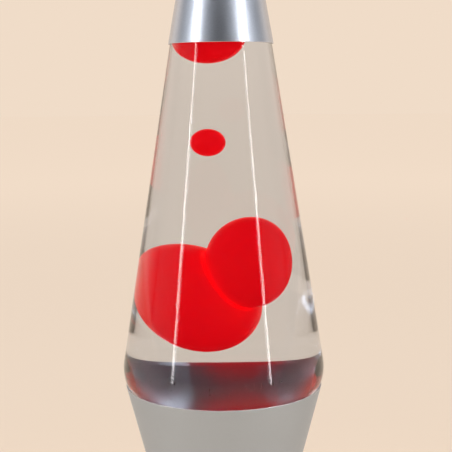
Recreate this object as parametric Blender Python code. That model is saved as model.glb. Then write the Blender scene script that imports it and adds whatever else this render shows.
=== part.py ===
"""A tall conical lava lamp: an hourglass metal base, a sealed glass bottle of liquid and wax, and a metal cap.

Units are metres, +Z is up, and the lamp's centre line is the Z axis with its feet on Z = 0.
The bottle stands in the upper cone of the base, over a small bulb in a threaded lampholder,
and the cap stands over the bottle's neck.
"""

from math import atan, cos, degrees, pi, radians, sin, tan

import bmesh
import bpy
from mathutils import Matrix, Vector

MM = 0.001
GAP = 0.3 * MM                      # left between pieces that touch
TURNS = 40                          # facets round the large turned pieces
SMALL_TURNS = 20                    # facets round the small ones

# Heights of the lamp's main levels
TOTAL_HEIGHT = 368 * MM
BASE_RIM_Z = 148 * MM
WAIST_Z = 68 * MM
BELLY_Z = BASE_RIM_Z + 7.9 * MM     # the bottle's widest level
CAP_RIM_Z = BELLY_Z + 141.2 * MM

# Radii of the main shells, outside
BELLY_R = 44.5 * MM
BASE_RIM_R = 43.6 * MM
FOOT_R = 46.5 * MM
CAP_RIM_R = 22.7 * MM

# Spun sheet metal
SHEET = 0.75 * MM
EDGE = 0.5 * MM                     # the sheet's thickness at the base's trimmed rim
CAP_EDGE = 0.45 * MM                # and at the cap's
BASE_TAPER = 0.26                   # radius lost per height, going down from the base's rim
CAP_TAPER = 0.1836                  # radius lost per height, going up from the cap's rim
FOOT_EDGE_Z = 1.5 * MM
CAP_TOP_ROUND = 4 * MM

# The bottle
GLASS = 2.0 * MM
BELLY_ROUND = 19 * MM               # radius of the curve at the widest level
SEAT_ANGLE = radians(32)            # from vertical, of the bottle's tapered heel
HEEL_ROUND = 8 * MM
BOTTLE_FLOOR_Z = 126 * MM
PUNT = 1.5 * MM
SHOULDER_Z = 299 * MM
SHOULDER_STEPS = 4
NECK_Z = 315 * MM
NECK_R = 12.6 * MM
LIP_Z = 326 * MM
FILL_Z = 318 * MM

# The lampholder and the bulb
HOLDER_R = 13 * MM
HOLDER_TOP_Z = 77 * MM
HOLDER_FLOOR_Z = 53 * MM
HOLDER_ROOM = 0.4 * MM              # round the holder, in both cones
COLLAR_R = 16.4 * MM
TERMINAL_RING = 6.2 * MM
BULB_R = 17.3 * MM
BULB_CENTRE_Z = 99.7 * MM
SCREW_R = 8.3 * MM                  # over the threads of the bulb's screw cap
THREAD_PITCH = 3.4 * MM
THREAD_DEPTH = 0.6 * MM
THREAD_TURNS = 3

# The bottom plate and what holds it
PLATE_Z = 2.6 * MM
PLATE_THICK = 1.5 * MM
PLATE_SCREW_RING = 39.5 * MM
FOOT_PAD_RING = 34 * MM
VENT_RING = 18.2 * MM               # the vents in both cones at the waist
VENT_R = 1.8 * MM
VENT_TURN = 2                       # degrees, so that no hole's corner falls on a facet's edge
PLATE_VENT_R = 2.6 * MM
PLATE_VENT_RINGS = ((9 * MM, 5), (18 * MM, 10))   # radius and count

# The cord's way out at the back
CORD_HOLE_Z = 15 * MM
CORD_HOLE_R = 5.2 * MM
CORD_BORE_R = 3.9 * MM

# Wax: centre from the centre line and from the widest level, half sizes, and tilt about Y
WAX_POOL = (Vector((-9.8, -2.0, 31.1)) * MM, Vector((20.6, 23.0, 25.0)) * MM, -0.70)
WAX_BALL = (Vector((9.9, -13.8, 48.3)) * MM, Vector((16.3, 15.8, 19.3)) * MM, 0.0)
WAX_BEAD = (Vector((-4.7, -5.0, 98.5)) * MM, Vector((6.0, 6.0, 5.8)) * MM, 0.0)
WAX_CROWN = (Vector((-4.3, -1.0, 143.3)) * MM, Vector((12.2, 12.0, 11.5)) * MM, 0.0)
WALL_TAPER = 0.1616                 # of the bottle's cone, which the ball follows as it rises
BALL_SWEEP = 16 * MM


def clear_scene():
    for item in list(bpy.data.objects):
        bpy.data.objects.remove(item, do_unlink=True)


# ---------------------------------------------------------------- finishes

def finish(name, colour, roughness, metallic=0.0, transmission=0.0):
    material = bpy.data.materials.new(name)
    material.use_nodes = True
    shader = material.node_tree.nodes["Principled BSDF"]
    shader.inputs["Base Color"].default_value = (*colour, 1)
    shader.inputs["Roughness"].default_value = roughness
    shader.inputs["Metallic"].default_value = metallic
    shader.inputs["Transmission Weight"].default_value = transmission
    return material


def make_finishes():
    return {
        "cap metal": finish("cap metal", (0.62, 0.63, 0.68), 0.32, 1),
        "base metal": finish("base metal", (0.55, 0.55, 0.53), 0.5, 1),
        "glass": finish("glass", (0.98, 0.98, 0.97), 0.02, 0, 1),
        "liquid": finish("liquid", (0.9, 0.88, 0.84), 0.02, 0, 1),
        "wax": finish("wax", (0.8, 0.02, 0.03), 0.35),
        "steel": finish("steel", (0.6, 0.6, 0.6), 0.35, 1),
        "brass": finish("brass", (0.75, 0.58, 0.3), 0.3, 1),
        "phenolic": finish("phenolic", (0.03, 0.028, 0.026), 0.4),
        "plastic": finish("plastic", (0.04, 0.04, 0.04), 0.5),
        "rubber": finish("rubber", (0.03, 0.03, 0.03), 0.8),
        "tungsten": finish("tungsten", (0.3, 0.3, 0.32), 0.4, 1),
        "seal": finish("seal", (0.8, 0.8, 0.78), 0.6),
    }


# ---------------------------------------------------------------- modelling tools

def arc(centre_r, centre_z, radius, start, end, steps):
    """Points (r, z) on an arc, from angle start to angle end, in degrees from the +r direction."""
    angles = [radians(start + (end - start) * i / steps) for i in range(steps + 1)]
    return [(centre_r + radius * cos(a), centre_z + radius * sin(a)) for a in angles]


def new_object(name, bm, material):
    bmesh.ops.recalc_face_normals(bm, faces=bm.faces)
    mesh = bpy.data.meshes.new(name)
    bm.to_mesh(mesh)
    bm.free()
    mesh.materials.append(material)
    mesh.shade_smooth()
    mesh.set_sharp_from_angle(angle=radians(35))
    item = bpy.data.objects.new(name, mesh)
    bpy.context.scene.collection.objects.link(item)
    return item


def turned(name, outline, material, steps=TURNS):
    """A solid of revolution about Z. The outline's points (r, z) go once round the section;
    one that starts and ends at r = 0 is closed there by the centre line."""
    bm = bmesh.new()
    corners = [bm.verts.new((r, 0, z)) for r, z in outline]
    edges = [bm.edges.new(pair) for pair in zip(corners, corners[1:])]
    if outline[0][0] > 0:
        edges.append(bm.edges.new((corners[-1], corners[0])))
    bmesh.ops.spin(bm, geom=corners + edges, cent=(0, 0, 0), axis=(0, 0, 1), angle=2 * pi,
                   steps=steps, use_merge=True)
    bmesh.ops.remove_doubles(bm, verts=bm.verts, dist=0.001 * MM)
    return new_object(name, bm, material)


def ellipsoid(name, blob, material, grow=0.0):
    """A wax blob: a sphere stretched to the blob's half sizes, tilted about Y and put in the bottle."""
    centre, half, tilt = blob
    rings = 8 if half.x < 10 * MM else 12
    bm = bmesh.new()
    bmesh.ops.create_uvsphere(bm, u_segments=2 * rings, v_segments=rings, radius=1)
    size = Matrix.Diagonal((*(half + Vector((grow, grow, grow))), 1))
    place = Matrix.Translation(centre + Vector((0, 0, BELLY_Z)))
    bmesh.ops.transform(bm, matrix=place @ Matrix.Rotation(tilt, 4, "Y") @ size, verts=bm.verts)
    return new_object(name, bm, material)


def as_cutter(item):
    item.hide_render = True
    item.display_type = "WIRE"
    return item


def peg(name, radius, low, high, x=0.0, y=0.0, steps=SMALL_TURNS):
    """A round upright cutter at x, y."""
    bm = bmesh.new()
    bmesh.ops.create_cone(bm, cap_ends=True, segments=steps, radius1=radius, radius2=radius, depth=high - low)
    bmesh.ops.translate(bm, verts=bm.verts, vec=(x, y, (low + high) / 2))
    return as_cutter(new_object(name, bm, FINISH["plastic"]))


def cut(item, cutters, operation="DIFFERENCE"):
    for cutter in cutters:
        step = item.modifiers.new(cutter.name, "BOOLEAN")
        step.operation = operation
        step.object = as_cutter(cutter)


def round_the_axis(count, radius, first=0.0):
    """The x, y places of count pieces on a circle, the first at angle first, in degrees."""
    for i in range(count):
        angle = radians(first) + 2 * pi * i / count
        yield radius * cos(angle), radius * sin(angle)


# ---------------------------------------------------------------- sections shared by neighbours

def base_outside_r(z):
    return BASE_RIM_R - BASE_TAPER * (BASE_RIM_Z - z)


def foot_outside_r(z):
    waist = base_outside_r(WAIST_Z)
    return waist + (FOOT_R - waist) * (WAIST_Z - z) / (WAIST_Z - FOOT_EDGE_Z)


def bottle_side(inset):
    """The bottle's side from the heel's foot up to the lip, moved in by inset: points (r, z)."""
    lean = atan(WALL_TAPER)
    belly_round = BELLY_ROUND - inset
    centre_r = BELLY_R - BELLY_ROUND
    belly = arc(centre_r, BELLY_Z, belly_round, -degrees(SEAT_ANGLE), degrees(lean), 5)
    # the heel is a smaller arc that ends flat on the bottle's floor, tangent to the tapered seat
    seat_r, seat_z = belly[0]
    heel_round = HEEL_ROUND - inset
    floor_z = BOTTLE_FLOOR_Z + inset
    heel_z = floor_z + heel_round
    arc_top_z = heel_z - heel_round * sin(SEAT_ANGLE)
    arc_top_r = seat_r - tan(SEAT_ANGLE) * (seat_z - arc_top_z)
    heel = arc(arc_top_r - heel_round * cos(SEAT_ANGLE), heel_z, heel_round, -90, -degrees(SEAT_ANGLE), 3)
    # the long cone, the shoulder as a smooth S, and the neck
    cone_r, cone_z = belly[-1]
    shoulder_r = cone_r - WALL_TAPER * (SHOULDER_Z - cone_z)
    neck_r = NECK_R - inset
    shoulder = []
    for i in range(SHOULDER_STEPS + 1):
        t = i / SHOULDER_STEPS
        ease = t * t * (3 - 2 * t)
        shoulder.append((shoulder_r + (neck_r - shoulder_r) * ease, SHOULDER_Z + (NECK_Z - SHOULDER_Z) * t))
    return heel + belly + shoulder + [(neck_r, LIP_Z)]


def side_below(side, top_z):
    """The lower part of a side, cut off level at top_z."""
    kept = [point for point in side if point[1] < top_z]
    return kept + [(side[-1][0], top_z)]


# ---------------------------------------------------------------- the base

def make_upper_cone():
    """The spun cone that the bottle stands in, with a flat floor at the waist."""
    low_r = base_outside_r(WAIST_Z + 1.2 * MM)
    lip = BASE_RIM_R - EDGE
    floor_top = WAIST_Z + SHEET
    outline = [
        (HOLDER_R + HOLDER_ROOM, WAIST_Z), (low_r - 1.2 * MM, WAIST_Z), (low_r - 0.3 * MM, WAIST_Z + 0.4 * MM),
        (low_r, WAIST_Z + 1.2 * MM), (BASE_RIM_R - 0.05 * MM, BASE_RIM_Z - 0.2 * MM),
        (BASE_RIM_R - 0.15 * MM, BASE_RIM_Z), (lip, BASE_RIM_Z),
        (base_outside_r(BASE_RIM_Z - 1.2 * MM) - SHEET, BASE_RIM_Z - 1.2 * MM),
        (low_r - SHEET, WAIST_Z + 1.7 * MM), (low_r - 1.6 * MM, floor_top),
        (HOLDER_R + HOLDER_ROOM, floor_top),
    ]
    cone = turned("base_upper_cone", outline, FINISH["base metal"])
    vents = [peg(f"upper_vent_{i}", VENT_R, WAIST_Z - 1 * MM, floor_top + 1 * MM, x, y, 8)
             for i, (x, y) in enumerate(round_the_axis(6, VENT_RING, VENT_TURN))]
    cut(cone, vents)


def make_lower_cone():
    """The spun cone that is the lamp's foot, with a flat top at the waist and a hole for the cord."""
    top = WAIST_Z - GAP
    bend_r = foot_outside_r(top - 1.2 * MM)
    inner_wall = SHEET + 0.05 * MM
    outline = [
        (HOLDER_R + HOLDER_ROOM, top), (HOLDER_R + HOLDER_ROOM, top - SHEET), (bend_r - 1.6 * MM, top - SHEET),
        (bend_r - inner_wall, top - 1.7 * MM), (FOOT_R - inner_wall, FOOT_EDGE_Z + 0.4 * MM),
        (FOOT_R - 0.6 * MM, FOOT_EDGE_Z), (FOOT_R - 0.2 * MM, FOOT_EDGE_Z), (FOOT_R, FOOT_EDGE_Z + 0.4 * MM),
        (bend_r, top - 1.2 * MM), (bend_r - 0.3 * MM, top - 0.4 * MM), (bend_r - 1.2 * MM, top),
    ]
    cone = turned("base_lower_cone", outline, FINISH["base metal"])
    vents = [peg(f"lower_vent_{i}", VENT_R, top - SHEET - 1 * MM, top + 1 * MM, x, y, 8)
             for i, (x, y) in enumerate(round_the_axis(6, VENT_RING, VENT_TURN))]
    hole = peg("cord_hole", CORD_HOLE_R, -4 * MM, 4 * MM)
    hole.matrix_world = cord_hole_place()
    cut(cone, vents + [hole])


def cord_hole_place():
    """Where the cord's grommet sits: at the back, low down, its axis square to the slanted wall."""
    slope = (FOOT_R - base_outside_r(WAIST_Z)) / (WAIST_Z - FOOT_EDGE_Z)
    mid_wall = foot_outside_r(CORD_HOLE_Z) - SHEET / 2
    return Matrix.Translation((0, mid_wall, CORD_HOLE_Z)) @ Matrix.Rotation(atan(slope) - pi / 2, 4, "X")


def make_grommet():
    """A rubber ring that lines the cord's hole, with a groove that holds the sheet."""
    groove, flange = CORD_HOLE_R - 0.4 * MM, CORD_HOLE_R + 1.4 * MM
    half, groove_half = 2.3 * MM, 1.0 * MM
    outline = [
        (CORD_BORE_R, -half), (flange - 0.8 * MM, -half), (flange, -half + 0.8 * MM), (flange, -groove_half),
        (groove, -groove_half), (groove, groove_half), (flange, groove_half), (flange - 0.8 * MM, half),
        (CORD_BORE_R, half),
    ]
    ring = turned("cord_grommet", outline, FINISH["rubber"], SMALL_TURNS)
    ring.matrix_world = cord_hole_place()


def make_bottom():
    """The plate that closes the foot, the ring it screws to, its screws and its rubber pads."""
    plate_top = PLATE_Z + PLATE_THICK
    ring_low = plate_top + GAP
    ring_top = ring_low + 1.2 * MM
    plate_r = foot_outside_r(plate_top) - SHEET - 0.5 * MM
    ring_r = foot_outside_r(ring_top) - SHEET - 0.4 * MM
    plate = turned("bottom_plate", [(0, PLATE_Z), (plate_r - 0.4 * MM, PLATE_Z), (plate_r, PLATE_Z + 0.4 * MM),
                                    (plate_r, plate_top), (0, plate_top)], FINISH["plastic"])
    bore = 35 * MM
    ring = turned("plate_ring", [(bore, ring_low), (ring_r, ring_low), (ring_r, ring_top), (bore, ring_top)],
                  FINISH["steel"])
    screws = list(round_the_axis(3, PLATE_SCREW_RING, 32))
    holes = [peg(f"plate_screw_hole_{i}", 1.7 * MM, PLATE_Z - 1 * MM, ring_top + 1 * MM, x, y, 12)
             for i, (x, y) in enumerate(screws, 1)]
    vents = [peg(f"plate_vent_{count}_{i}", PLATE_VENT_R, PLATE_Z - 1 * MM, plate_top + 1 * MM, x, y, 8)
             for vent_ring, count in PLATE_VENT_RINGS
             for i, (x, y) in enumerate(round_the_axis(count, vent_ring, VENT_TURN))]
    cut(plate, holes + vents)
    cut(ring, holes)
    head_top = PLATE_Z - GAP
    head = [(0, head_top - 1.2 * MM), (1.9 * MM, head_top - 1.2 * MM), (2.8 * MM, head_top - 0.4 * MM),
            (2.8 * MM, head_top), (1.35 * MM, head_top), (1.35 * MM, ring_top + 1.2 * MM),
            (0.8 * MM, ring_top + 2 * MM), (0, ring_top + 2 * MM)]
    for i, (x, y) in enumerate(screws, 1):
        turned(f"plate_screw_{i}", head, FINISH["steel"], 12).location = (x, y, 0)
    pad = [(0, 0), (4.4 * MM, 0), (5 * MM, 0.6 * MM), (5 * MM, head_top), (0, head_top)]
    for i, (x, y) in enumerate(round_the_axis(4, FOOT_PAD_RING, 45), 1):
        turned(f"foot_pad_{i}", pad, FINISH["rubber"], SMALL_TURNS).location = (x, y, 0)


# ---------------------------------------------------------------- the lampholder

def thread_side(radius, low, turns=THREAD_TURNS):
    """A rolled thread's side, drawn as ridges, from low up: points (r, z)."""
    points = []
    for i in range(turns * 2 + 1):
        depth = 0 if i % 2 else THREAD_DEPTH
        points.append((radius - depth, low + THREAD_PITCH * i / 2))
    return points


def make_lampholder():
    """A moulded holder clamped through both cones at the waist, with its metal inside parts."""
    bore = 9.9 * MM
    shoulder = WAIST_Z + SHEET + GAP
    body = turned("lampholder_body", [
        (1.9 * MM, HOLDER_FLOOR_Z), (HOLDER_R, HOLDER_FLOOR_Z), (HOLDER_R, shoulder), (COLLAR_R, shoulder),
        (COLLAR_R, shoulder + 1.6 * MM), (COLLAR_R - 0.6 * MM, shoulder + 2.2 * MM),
        (HOLDER_R - 0.4 * MM, shoulder + 2.2 * MM), (HOLDER_R - 0.4 * MM, HOLDER_TOP_Z - 0.6 * MM),
        (HOLDER_R - 1 * MM, HOLDER_TOP_Z), (bore, HOLDER_TOP_Z), (bore, HOLDER_FLOOR_Z + 3 * MM),
        (1.9 * MM, HOLDER_FLOOR_Z + 3 * MM),
    ], FINISH["phenolic"], SMALL_TURNS)
    terminals = list(round_the_axis(2, TERMINAL_RING))
    cut(body, [peg(f"terminal_hole_{i}", 1.5 * MM, HOLDER_FLOOR_Z - 1 * MM, HOLDER_FLOOR_Z + 4 * MM, x, y, 12)
               for i, (x, y) in enumerate(terminals)])

    nut_top = WAIST_Z - 2 * GAP - SHEET
    nut_low = nut_top - 4 * MM
    turned("lampholder_ring_nut", [
        (HOLDER_R + GAP, nut_low), (COLLAR_R, nut_low), (COLLAR_R + 0.6 * MM, nut_low + 0.6 * MM),
        (COLLAR_R + 0.6 * MM, nut_top - 0.6 * MM), (COLLAR_R, nut_top), (HOLDER_R + GAP, nut_top),
    ], FINISH["phenolic"], SMALL_TURNS)

    shell_low = HOLDER_FLOOR_Z + 5 * MM
    inner = thread_side(SCREW_R + 0.4 * MM + THREAD_DEPTH, shell_low)
    outer = [(r + 0.35 * MM, z) for r, z in inner]
    turned("lampholder_screw_shell", outer + inner[::-1], FINISH["brass"], SMALL_TURNS)

    floor_top = HOLDER_FLOOR_Z + 3 * MM + GAP
    strip = [(-5.5, 0), (4, 0), (4.4, 0.3), (4.4, 0.8), (1.6, 1.7), (1.2, 2.1), (-1.2, 2.1), (-1.6, 1.7),
             (-1.6, 1.3), (-1.2, 1.7), (1.1, 1.7), (3.6, 0.75), (3.6, 0.4), (-5.5, 0.4)]
    bm = bmesh.new()
    face = bm.faces.new([bm.verts.new((x * MM, -1.5 * MM, floor_top + z * MM)) for x, z in strip])
    sweep = bmesh.ops.extrude_face_region(bm, geom=[face])
    moved = [v for v in sweep["geom"] if isinstance(v, bmesh.types.BMVert)]
    bmesh.ops.translate(bm, verts=moved, vec=(0, 3 * MM, 0))
    new_object("lampholder_centre_contact", bm, FINISH["brass"])

    head_top = HOLDER_FLOOR_Z - GAP
    screw = [(0, head_top - 1.8 * MM), (2.0 * MM, head_top - 1.8 * MM), (2.4 * MM, head_top - 1.2 * MM),
             (2.4 * MM, head_top), (1.2 * MM, head_top), (1.2 * MM, HOLDER_FLOOR_Z + 2.9 * MM),
             (0, HOLDER_FLOOR_Z + 2.9 * MM)]
    for name, (x, y) in zip(("terminal_screw_live", "terminal_screw_neutral"), terminals):
        turned(name, screw, FINISH["brass"], 12).location = (x, y, 0)

    cover_top = HOLDER_FLOOR_Z - GAP
    cover_low = cover_top - 13 * MM
    wall = 1.4 * MM
    turned("lampholder_cover", [
        (4 * MM, cover_low), (9 * MM, cover_low), (HOLDER_R, cover_low + 5 * MM), (HOLDER_R, cover_top),
        (HOLDER_R - wall, cover_top), (HOLDER_R - wall, cover_low + 5.6 * MM), (8.6 * MM, cover_low + wall),
        (4 * MM, cover_low + wall),
    ], FINISH["phenolic"], SMALL_TURNS)


# ---------------------------------------------------------------- the bulb

def make_bulb():
    """A small clear screw-in bulb: glass envelope, screw cap, insulator, tip, glass stem and filament."""
    neck_r, neck_low, neck_top = 7.2 * MM, 74 * MM, 79 * MM
    wall = 0.6 * MM
    outer = [(neck_r, neck_low), (neck_r, neck_top)] + arc(0, BULB_CENTRE_Z, BULB_R, -48, 90, 8)
    inner = [(0, BULB_CENTRE_Z + BULB_R - wall)] + arc(0, BULB_CENTRE_Z, BULB_R - wall, 74, -47, 7)
    outer[-1] = (0, BULB_CENTRE_Z + BULB_R)
    turned("bulb_envelope", outer + inner + [(neck_r - wall, neck_top), (neck_r - wall, neck_low)],
           FINISH["glass"], SMALL_TURNS)

    cap_low = 61.5 * MM
    side = thread_side(SCREW_R, cap_low + 1.2 * MM)
    collar_top = side[-1][1] + 3 * MM
    outside = [(6.4 * MM, cap_low), *side, (SCREW_R - 0.4 * MM, side[-1][1] + 0.6 * MM),
               (SCREW_R - 0.4 * MM, collar_top)]
    inside = [(r - 0.35 * MM, z) for r, z in outside[1:]]
    turned("bulb_screw_cap", outside + inside[::-1] + [(6.0 * MM, cap_low + 0.35 * MM)], FINISH["brass"],
           SMALL_TURNS)

    insulator_top = cap_low - GAP
    turned("bulb_insulator", [(2.7 * MM, insulator_top - 1.6 * MM), (4 * MM, insulator_top - 1.6 * MM),
                              (6.2 * MM, insulator_top), (2.7 * MM, insulator_top)], FINISH["phenolic"],
           SMALL_TURNS)
    tip_low = insulator_top - 2.0 * MM
    turned("bulb_tip_contact", [(0, tip_low), (1.4 * MM, tip_low), (2.3 * MM, tip_low + 0.5 * MM),
                                (2.3 * MM, insulator_top), (0, insulator_top)], FINISH["steel"], 16)

    turned("bulb_stem", [(0, 76 * MM), (6.0 * MM, 75 * MM), (6.2 * MM, 75.6 * MM), (3.2 * MM, 79 * MM),
                         (2.2 * MM, 84 * MM), (2.0 * MM, 91 * MM), (0, 92 * MM)], FINISH["glass"], 16)

    wire = bpy.data.curves.new("bulb_filament", "CURVE")
    wire.dimensions = "3D"
    wire.bevel_depth = 0.3 * MM
    wire.bevel_resolution = 1
    wire.use_fill_caps = True
    path = wire.splines.new("POLY")
    span, foot, top = 8 * MM, 84 * MM, 101 * MM
    points = [(-2.9 * MM, foot), (-2.9 * MM, foot + 6 * MM), (-span, top - 1 * MM)]
    points += [(-span + 2 * span * i / 8, top + 2.5 * MM * sin(pi * i / 8)) for i in range(9)]
    points += [(span, top - 1 * MM), (2.9 * MM, foot + 6 * MM), (2.9 * MM, foot)]
    path.points.add(len(points) - 1)
    for point, (x, z) in zip(path.points, points):
        point.co = (x, 0, z, 1)
    item = bpy.data.objects.new("bulb_filament", wire)
    wire.materials.append(FINISH["tungsten"])
    bpy.context.scene.collection.objects.link(item)


# ---------------------------------------------------------------- the bottle and its contents

def make_bottle():
    """The sealed glass bottle: tapered seat, short belly, long cone, shoulder, neck and lip."""
    outer = bottle_side(0)
    inner = bottle_side(GLASS)
    bead_r = NECK_R + 0.7 * MM
    lip = [(NECK_R, LIP_Z - 3 * MM), (bead_r, LIP_Z - 2.4 * MM), (bead_r, LIP_Z - 0.6 * MM),
           (NECK_R + 0.1 * MM, LIP_Z)]
    punt_outside = [(0, BOTTLE_FLOOR_Z + PUNT), (14 * MM, BOTTLE_FLOOR_Z + 0.6 * PUNT),
                    (18 * MM, BOTTLE_FLOOR_Z)]
    punt_inside = [(18 * MM, BOTTLE_FLOOR_Z + GLASS), (14 * MM, BOTTLE_FLOOR_Z + GLASS + 0.6 * PUNT),
                   (0, BOTTLE_FLOOR_Z + GLASS + PUNT)]
    mouth = [(NECK_R - GLASS + 0.2 * MM, LIP_Z), (NECK_R - GLASS, LIP_Z - 0.3 * MM)]
    turned("bottle", punt_outside + outer[:-1] + lip + mouth + inner[:-1][::-1] + punt_inside, FINISH["glass"])


def make_contents():
    """Liquid, wax blobs and the wire coil, each shape kept inside the bottle's wall."""
    blobs = {"wax_pool": WAX_POOL, "wax_ball": WAX_BALL, "wax_bead": WAX_BEAD, "wax_crown": WAX_CROWN}
    wax = {name: ellipsoid(name, blob, FINISH["wax"]) for name, blob in blobs.items()}

    # the blobs that press on the glass keep the bottle's inner shape there
    wall_side = side_below(bottle_side(GLASS + 2 * GAP), LIP_Z - 12 * MM)
    bottom = BOTTLE_FLOOR_Z + GLASS + 2 * GAP
    room = turned("wax_room", [(0, bottom)] + wall_side + [(0, LIP_Z - 12 * MM)], FINISH["plastic"])
    cut(wax["wax_pool"], [room], "INTERSECT")
    cut(wax["wax_crown"], [room], "INTERSECT")

    # the ball nests in the pool and leaves it upwards, along the wall
    way = Vector((-WAX_BALL[0].x, -WAX_BALL[0].y, 0)).normalized() * WALL_TAPER + Vector((0, 0, 1))
    nests = []
    for i in range(3):
        centre = WAX_BALL[0] + way * BALL_SWEEP * i / 2
        nests.append(ellipsoid(f"ball_nest_{i}", (centre, WAX_BALL[1], 0.0), FINISH["plastic"], 1.5 * GAP))
    cut(wax["wax_pool"], nests)

    # the wire ring that lies on the bottle's floor
    ring_r, wire_ring_r = 21 * MM, 2.8 * MM
    ring_z = BOTTLE_FLOOR_Z + GLASS + GAP + wire_ring_r
    turned("heat_coil", arc(ring_r, ring_z, wire_ring_r, 0, 315, 7), FINISH["steel"])

    # the liquid, with room for the blobs, a channel that joins them to the air, and room for the coil
    inside = side_below(bottle_side(GLASS + GAP), FILL_Z)
    floor = BOTTLE_FLOOR_Z + GLASS + GAP
    punt = [(0, floor + PUNT), (14 * MM, floor + 0.6 * PUNT), (18 * MM, floor)]
    liquid = turned("liquid", punt + inside + [(0, FILL_Z)], FINISH["liquid"])
    rooms = [ellipsoid("room_" + name, blob, FINISH["plastic"], 1.5 * GAP) for name, blob in blobs.items()]
    bead_place = WAX_BEAD[0]
    channel = peg("channel", 1.2 * MM, BELLY_Z + WAX_POOL[0].z, FILL_Z + 1 * MM, bead_place.x, bead_place.y, 12)
    coil_room = turned("coil_room", arc(ring_r, ring_z, wire_ring_r + GAP + 0.1 * MM, 0, 315, 7),
                       FINISH["plastic"])
    cut(liquid, rooms + [channel, coil_room])


def make_closure():
    """The pressed crown that seals the bottle, and the liner under it."""
    skirt_r, skirt_low, top = 16.0 * MM, LIP_Z - 5.2 * MM, LIP_Z + 2 * GAP + 0.8 * MM
    wall = 0.4 * MM
    turned("crown_closure", [
        (0, top + wall), (11.5 * MM, top + wall), (13.4 * MM, top - 0.3 * MM), (14.6 * MM, top - 2.4 * MM),
        (skirt_r, skirt_low), (skirt_r - wall, skirt_low), (14.6 * MM - wall, top - 2.4 * MM),
        (13.4 * MM - wall, top - 0.7 * MM), (11.3 * MM, top), (0, top),
    ], FINISH["steel"])
    turned("crown_liner", [(0, LIP_Z + GAP), (11.0 * MM, LIP_Z + GAP), (11.0 * MM, top - GAP), (0, top - GAP)],
           FINISH["seal"], SMALL_TURNS)


def make_cap():
    """The spun cap that stands over the bottle's neck: a closed cone with a rounded top."""
    lean = atan(CAP_TAPER)
    round_z = TOTAL_HEIGHT - CAP_TOP_ROUND - 0.6 * MM
    side_r = CAP_RIM_R - CAP_TAPER * (round_z - CAP_RIM_Z)
    centre_r = side_r - CAP_TOP_ROUND / cos(lean)
    start = degrees(lean)
    top = arc(centre_r, round_z, CAP_TOP_ROUND, start, 90, 5)
    under = arc(centre_r, round_z, CAP_TOP_ROUND - SHEET, 90, start, 5)
    rim = [(CAP_RIM_R - 0.12 * MM, CAP_RIM_Z), (CAP_RIM_R, CAP_RIM_Z + 0.15 * MM)]
    # thin where it touches the glass, and full thickness from the bottle's shoulder up
    lining = [(CAP_RIM_R - CAP_TAPER * up - wall, CAP_RIM_Z + up)
              for up, wall in ((5 * MM, SHEET), (2 * MM, CAP_EDGE), (0, CAP_EDGE))]
    outline = rim + top + [(0, TOTAL_HEIGHT), (0, TOTAL_HEIGHT - SHEET)] + under + lining
    # the turned solid's outline has to meet the centre line at its two ends
    first = outline.index((0, TOTAL_HEIGHT - SHEET))
    turned("cap_shell", outline[first:] + outline[:first], FINISH["cap metal"])


clear_scene()
FINISH = make_finishes()
make_upper_cone()
make_lower_cone()
make_grommet()
make_bottom()
make_lampholder()
make_bulb()
make_bottle()
make_contents()
make_closure()
make_cap()
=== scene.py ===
"""The looks of a tall conical lava lamp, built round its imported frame.

Every piece is a surface worked out with numpy, mostly a section turned round the lamp's centre line,
and stands for one of the frame's solids. Lengths are in metres, +Z is up, and the lamp's centre line is
the Z axis. The camera looks along +Y.
"""

from math import acos, atan, cos, degrees, pi, radians, sin, sqrt, tan

import bmesh
import bpy
import numpy as np
from bpy.props import FloatProperty, FloatVectorProperty, IntProperty, PointerProperty
from mathutils import Matrix, Vector


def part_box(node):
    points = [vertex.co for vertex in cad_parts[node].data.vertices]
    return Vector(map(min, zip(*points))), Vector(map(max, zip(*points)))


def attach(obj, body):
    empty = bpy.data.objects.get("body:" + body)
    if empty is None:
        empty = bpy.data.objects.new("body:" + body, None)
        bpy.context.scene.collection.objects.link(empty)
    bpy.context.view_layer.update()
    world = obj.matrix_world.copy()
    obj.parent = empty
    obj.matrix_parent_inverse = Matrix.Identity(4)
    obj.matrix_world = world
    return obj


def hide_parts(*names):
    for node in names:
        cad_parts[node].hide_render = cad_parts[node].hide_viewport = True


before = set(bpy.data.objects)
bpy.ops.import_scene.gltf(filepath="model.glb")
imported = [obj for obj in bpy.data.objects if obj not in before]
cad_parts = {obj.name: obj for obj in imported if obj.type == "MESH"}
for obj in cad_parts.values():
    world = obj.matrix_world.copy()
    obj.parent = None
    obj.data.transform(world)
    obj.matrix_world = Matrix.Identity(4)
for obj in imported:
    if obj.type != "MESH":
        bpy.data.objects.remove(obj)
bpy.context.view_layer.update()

bl_info = {
    "name": "Lava lamp",
    "version": (1, 0, 0),
    "blender": (4, 5, 0),
    "location": "3D View > Sidebar > Lamp",
    "description": "Builds a lava lamp's visible pieces round its packed frame",
    "category": "Object",
}

MM = 0.001
TAU = 2 * pi
FINE = 192                          # facets round the large turned pieces
MEDIUM = 96                         # round those of a lampholder's size
SMALL = 48                          # round screws and contacts


def low(node):
    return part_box(node)[0]


def high(node):
    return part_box(node)[1]


def centre(node):
    lowest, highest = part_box(node)
    return (lowest + highest) / 2


# ---------------------------------------------------------------- what a user would change

def length_property(name, description, millimetres):
    return FloatProperty(name=name, description=description, default=millimetres * MM, unit="LENGTH",
                         precision=5)


def number_property(name, description, default):
    return FloatProperty(name=name, description=description, default=default, precision=4)


def angle_property(name, description, default):
    return FloatProperty(name=name, description=description, default=default, subtype="ANGLE",
                         unit="ROTATION")


def point_property(name, description, millimetres):
    return FloatVectorProperty(name=name, description=description, size=3, subtype="XYZ", unit="LENGTH",
                               default=[value * MM for value in millimetres], precision=5)


def colour_property(name, description, default):
    return FloatVectorProperty(name=name, description=description, default=default, subtype="COLOR", size=3,
                               min=0, max=1)


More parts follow.
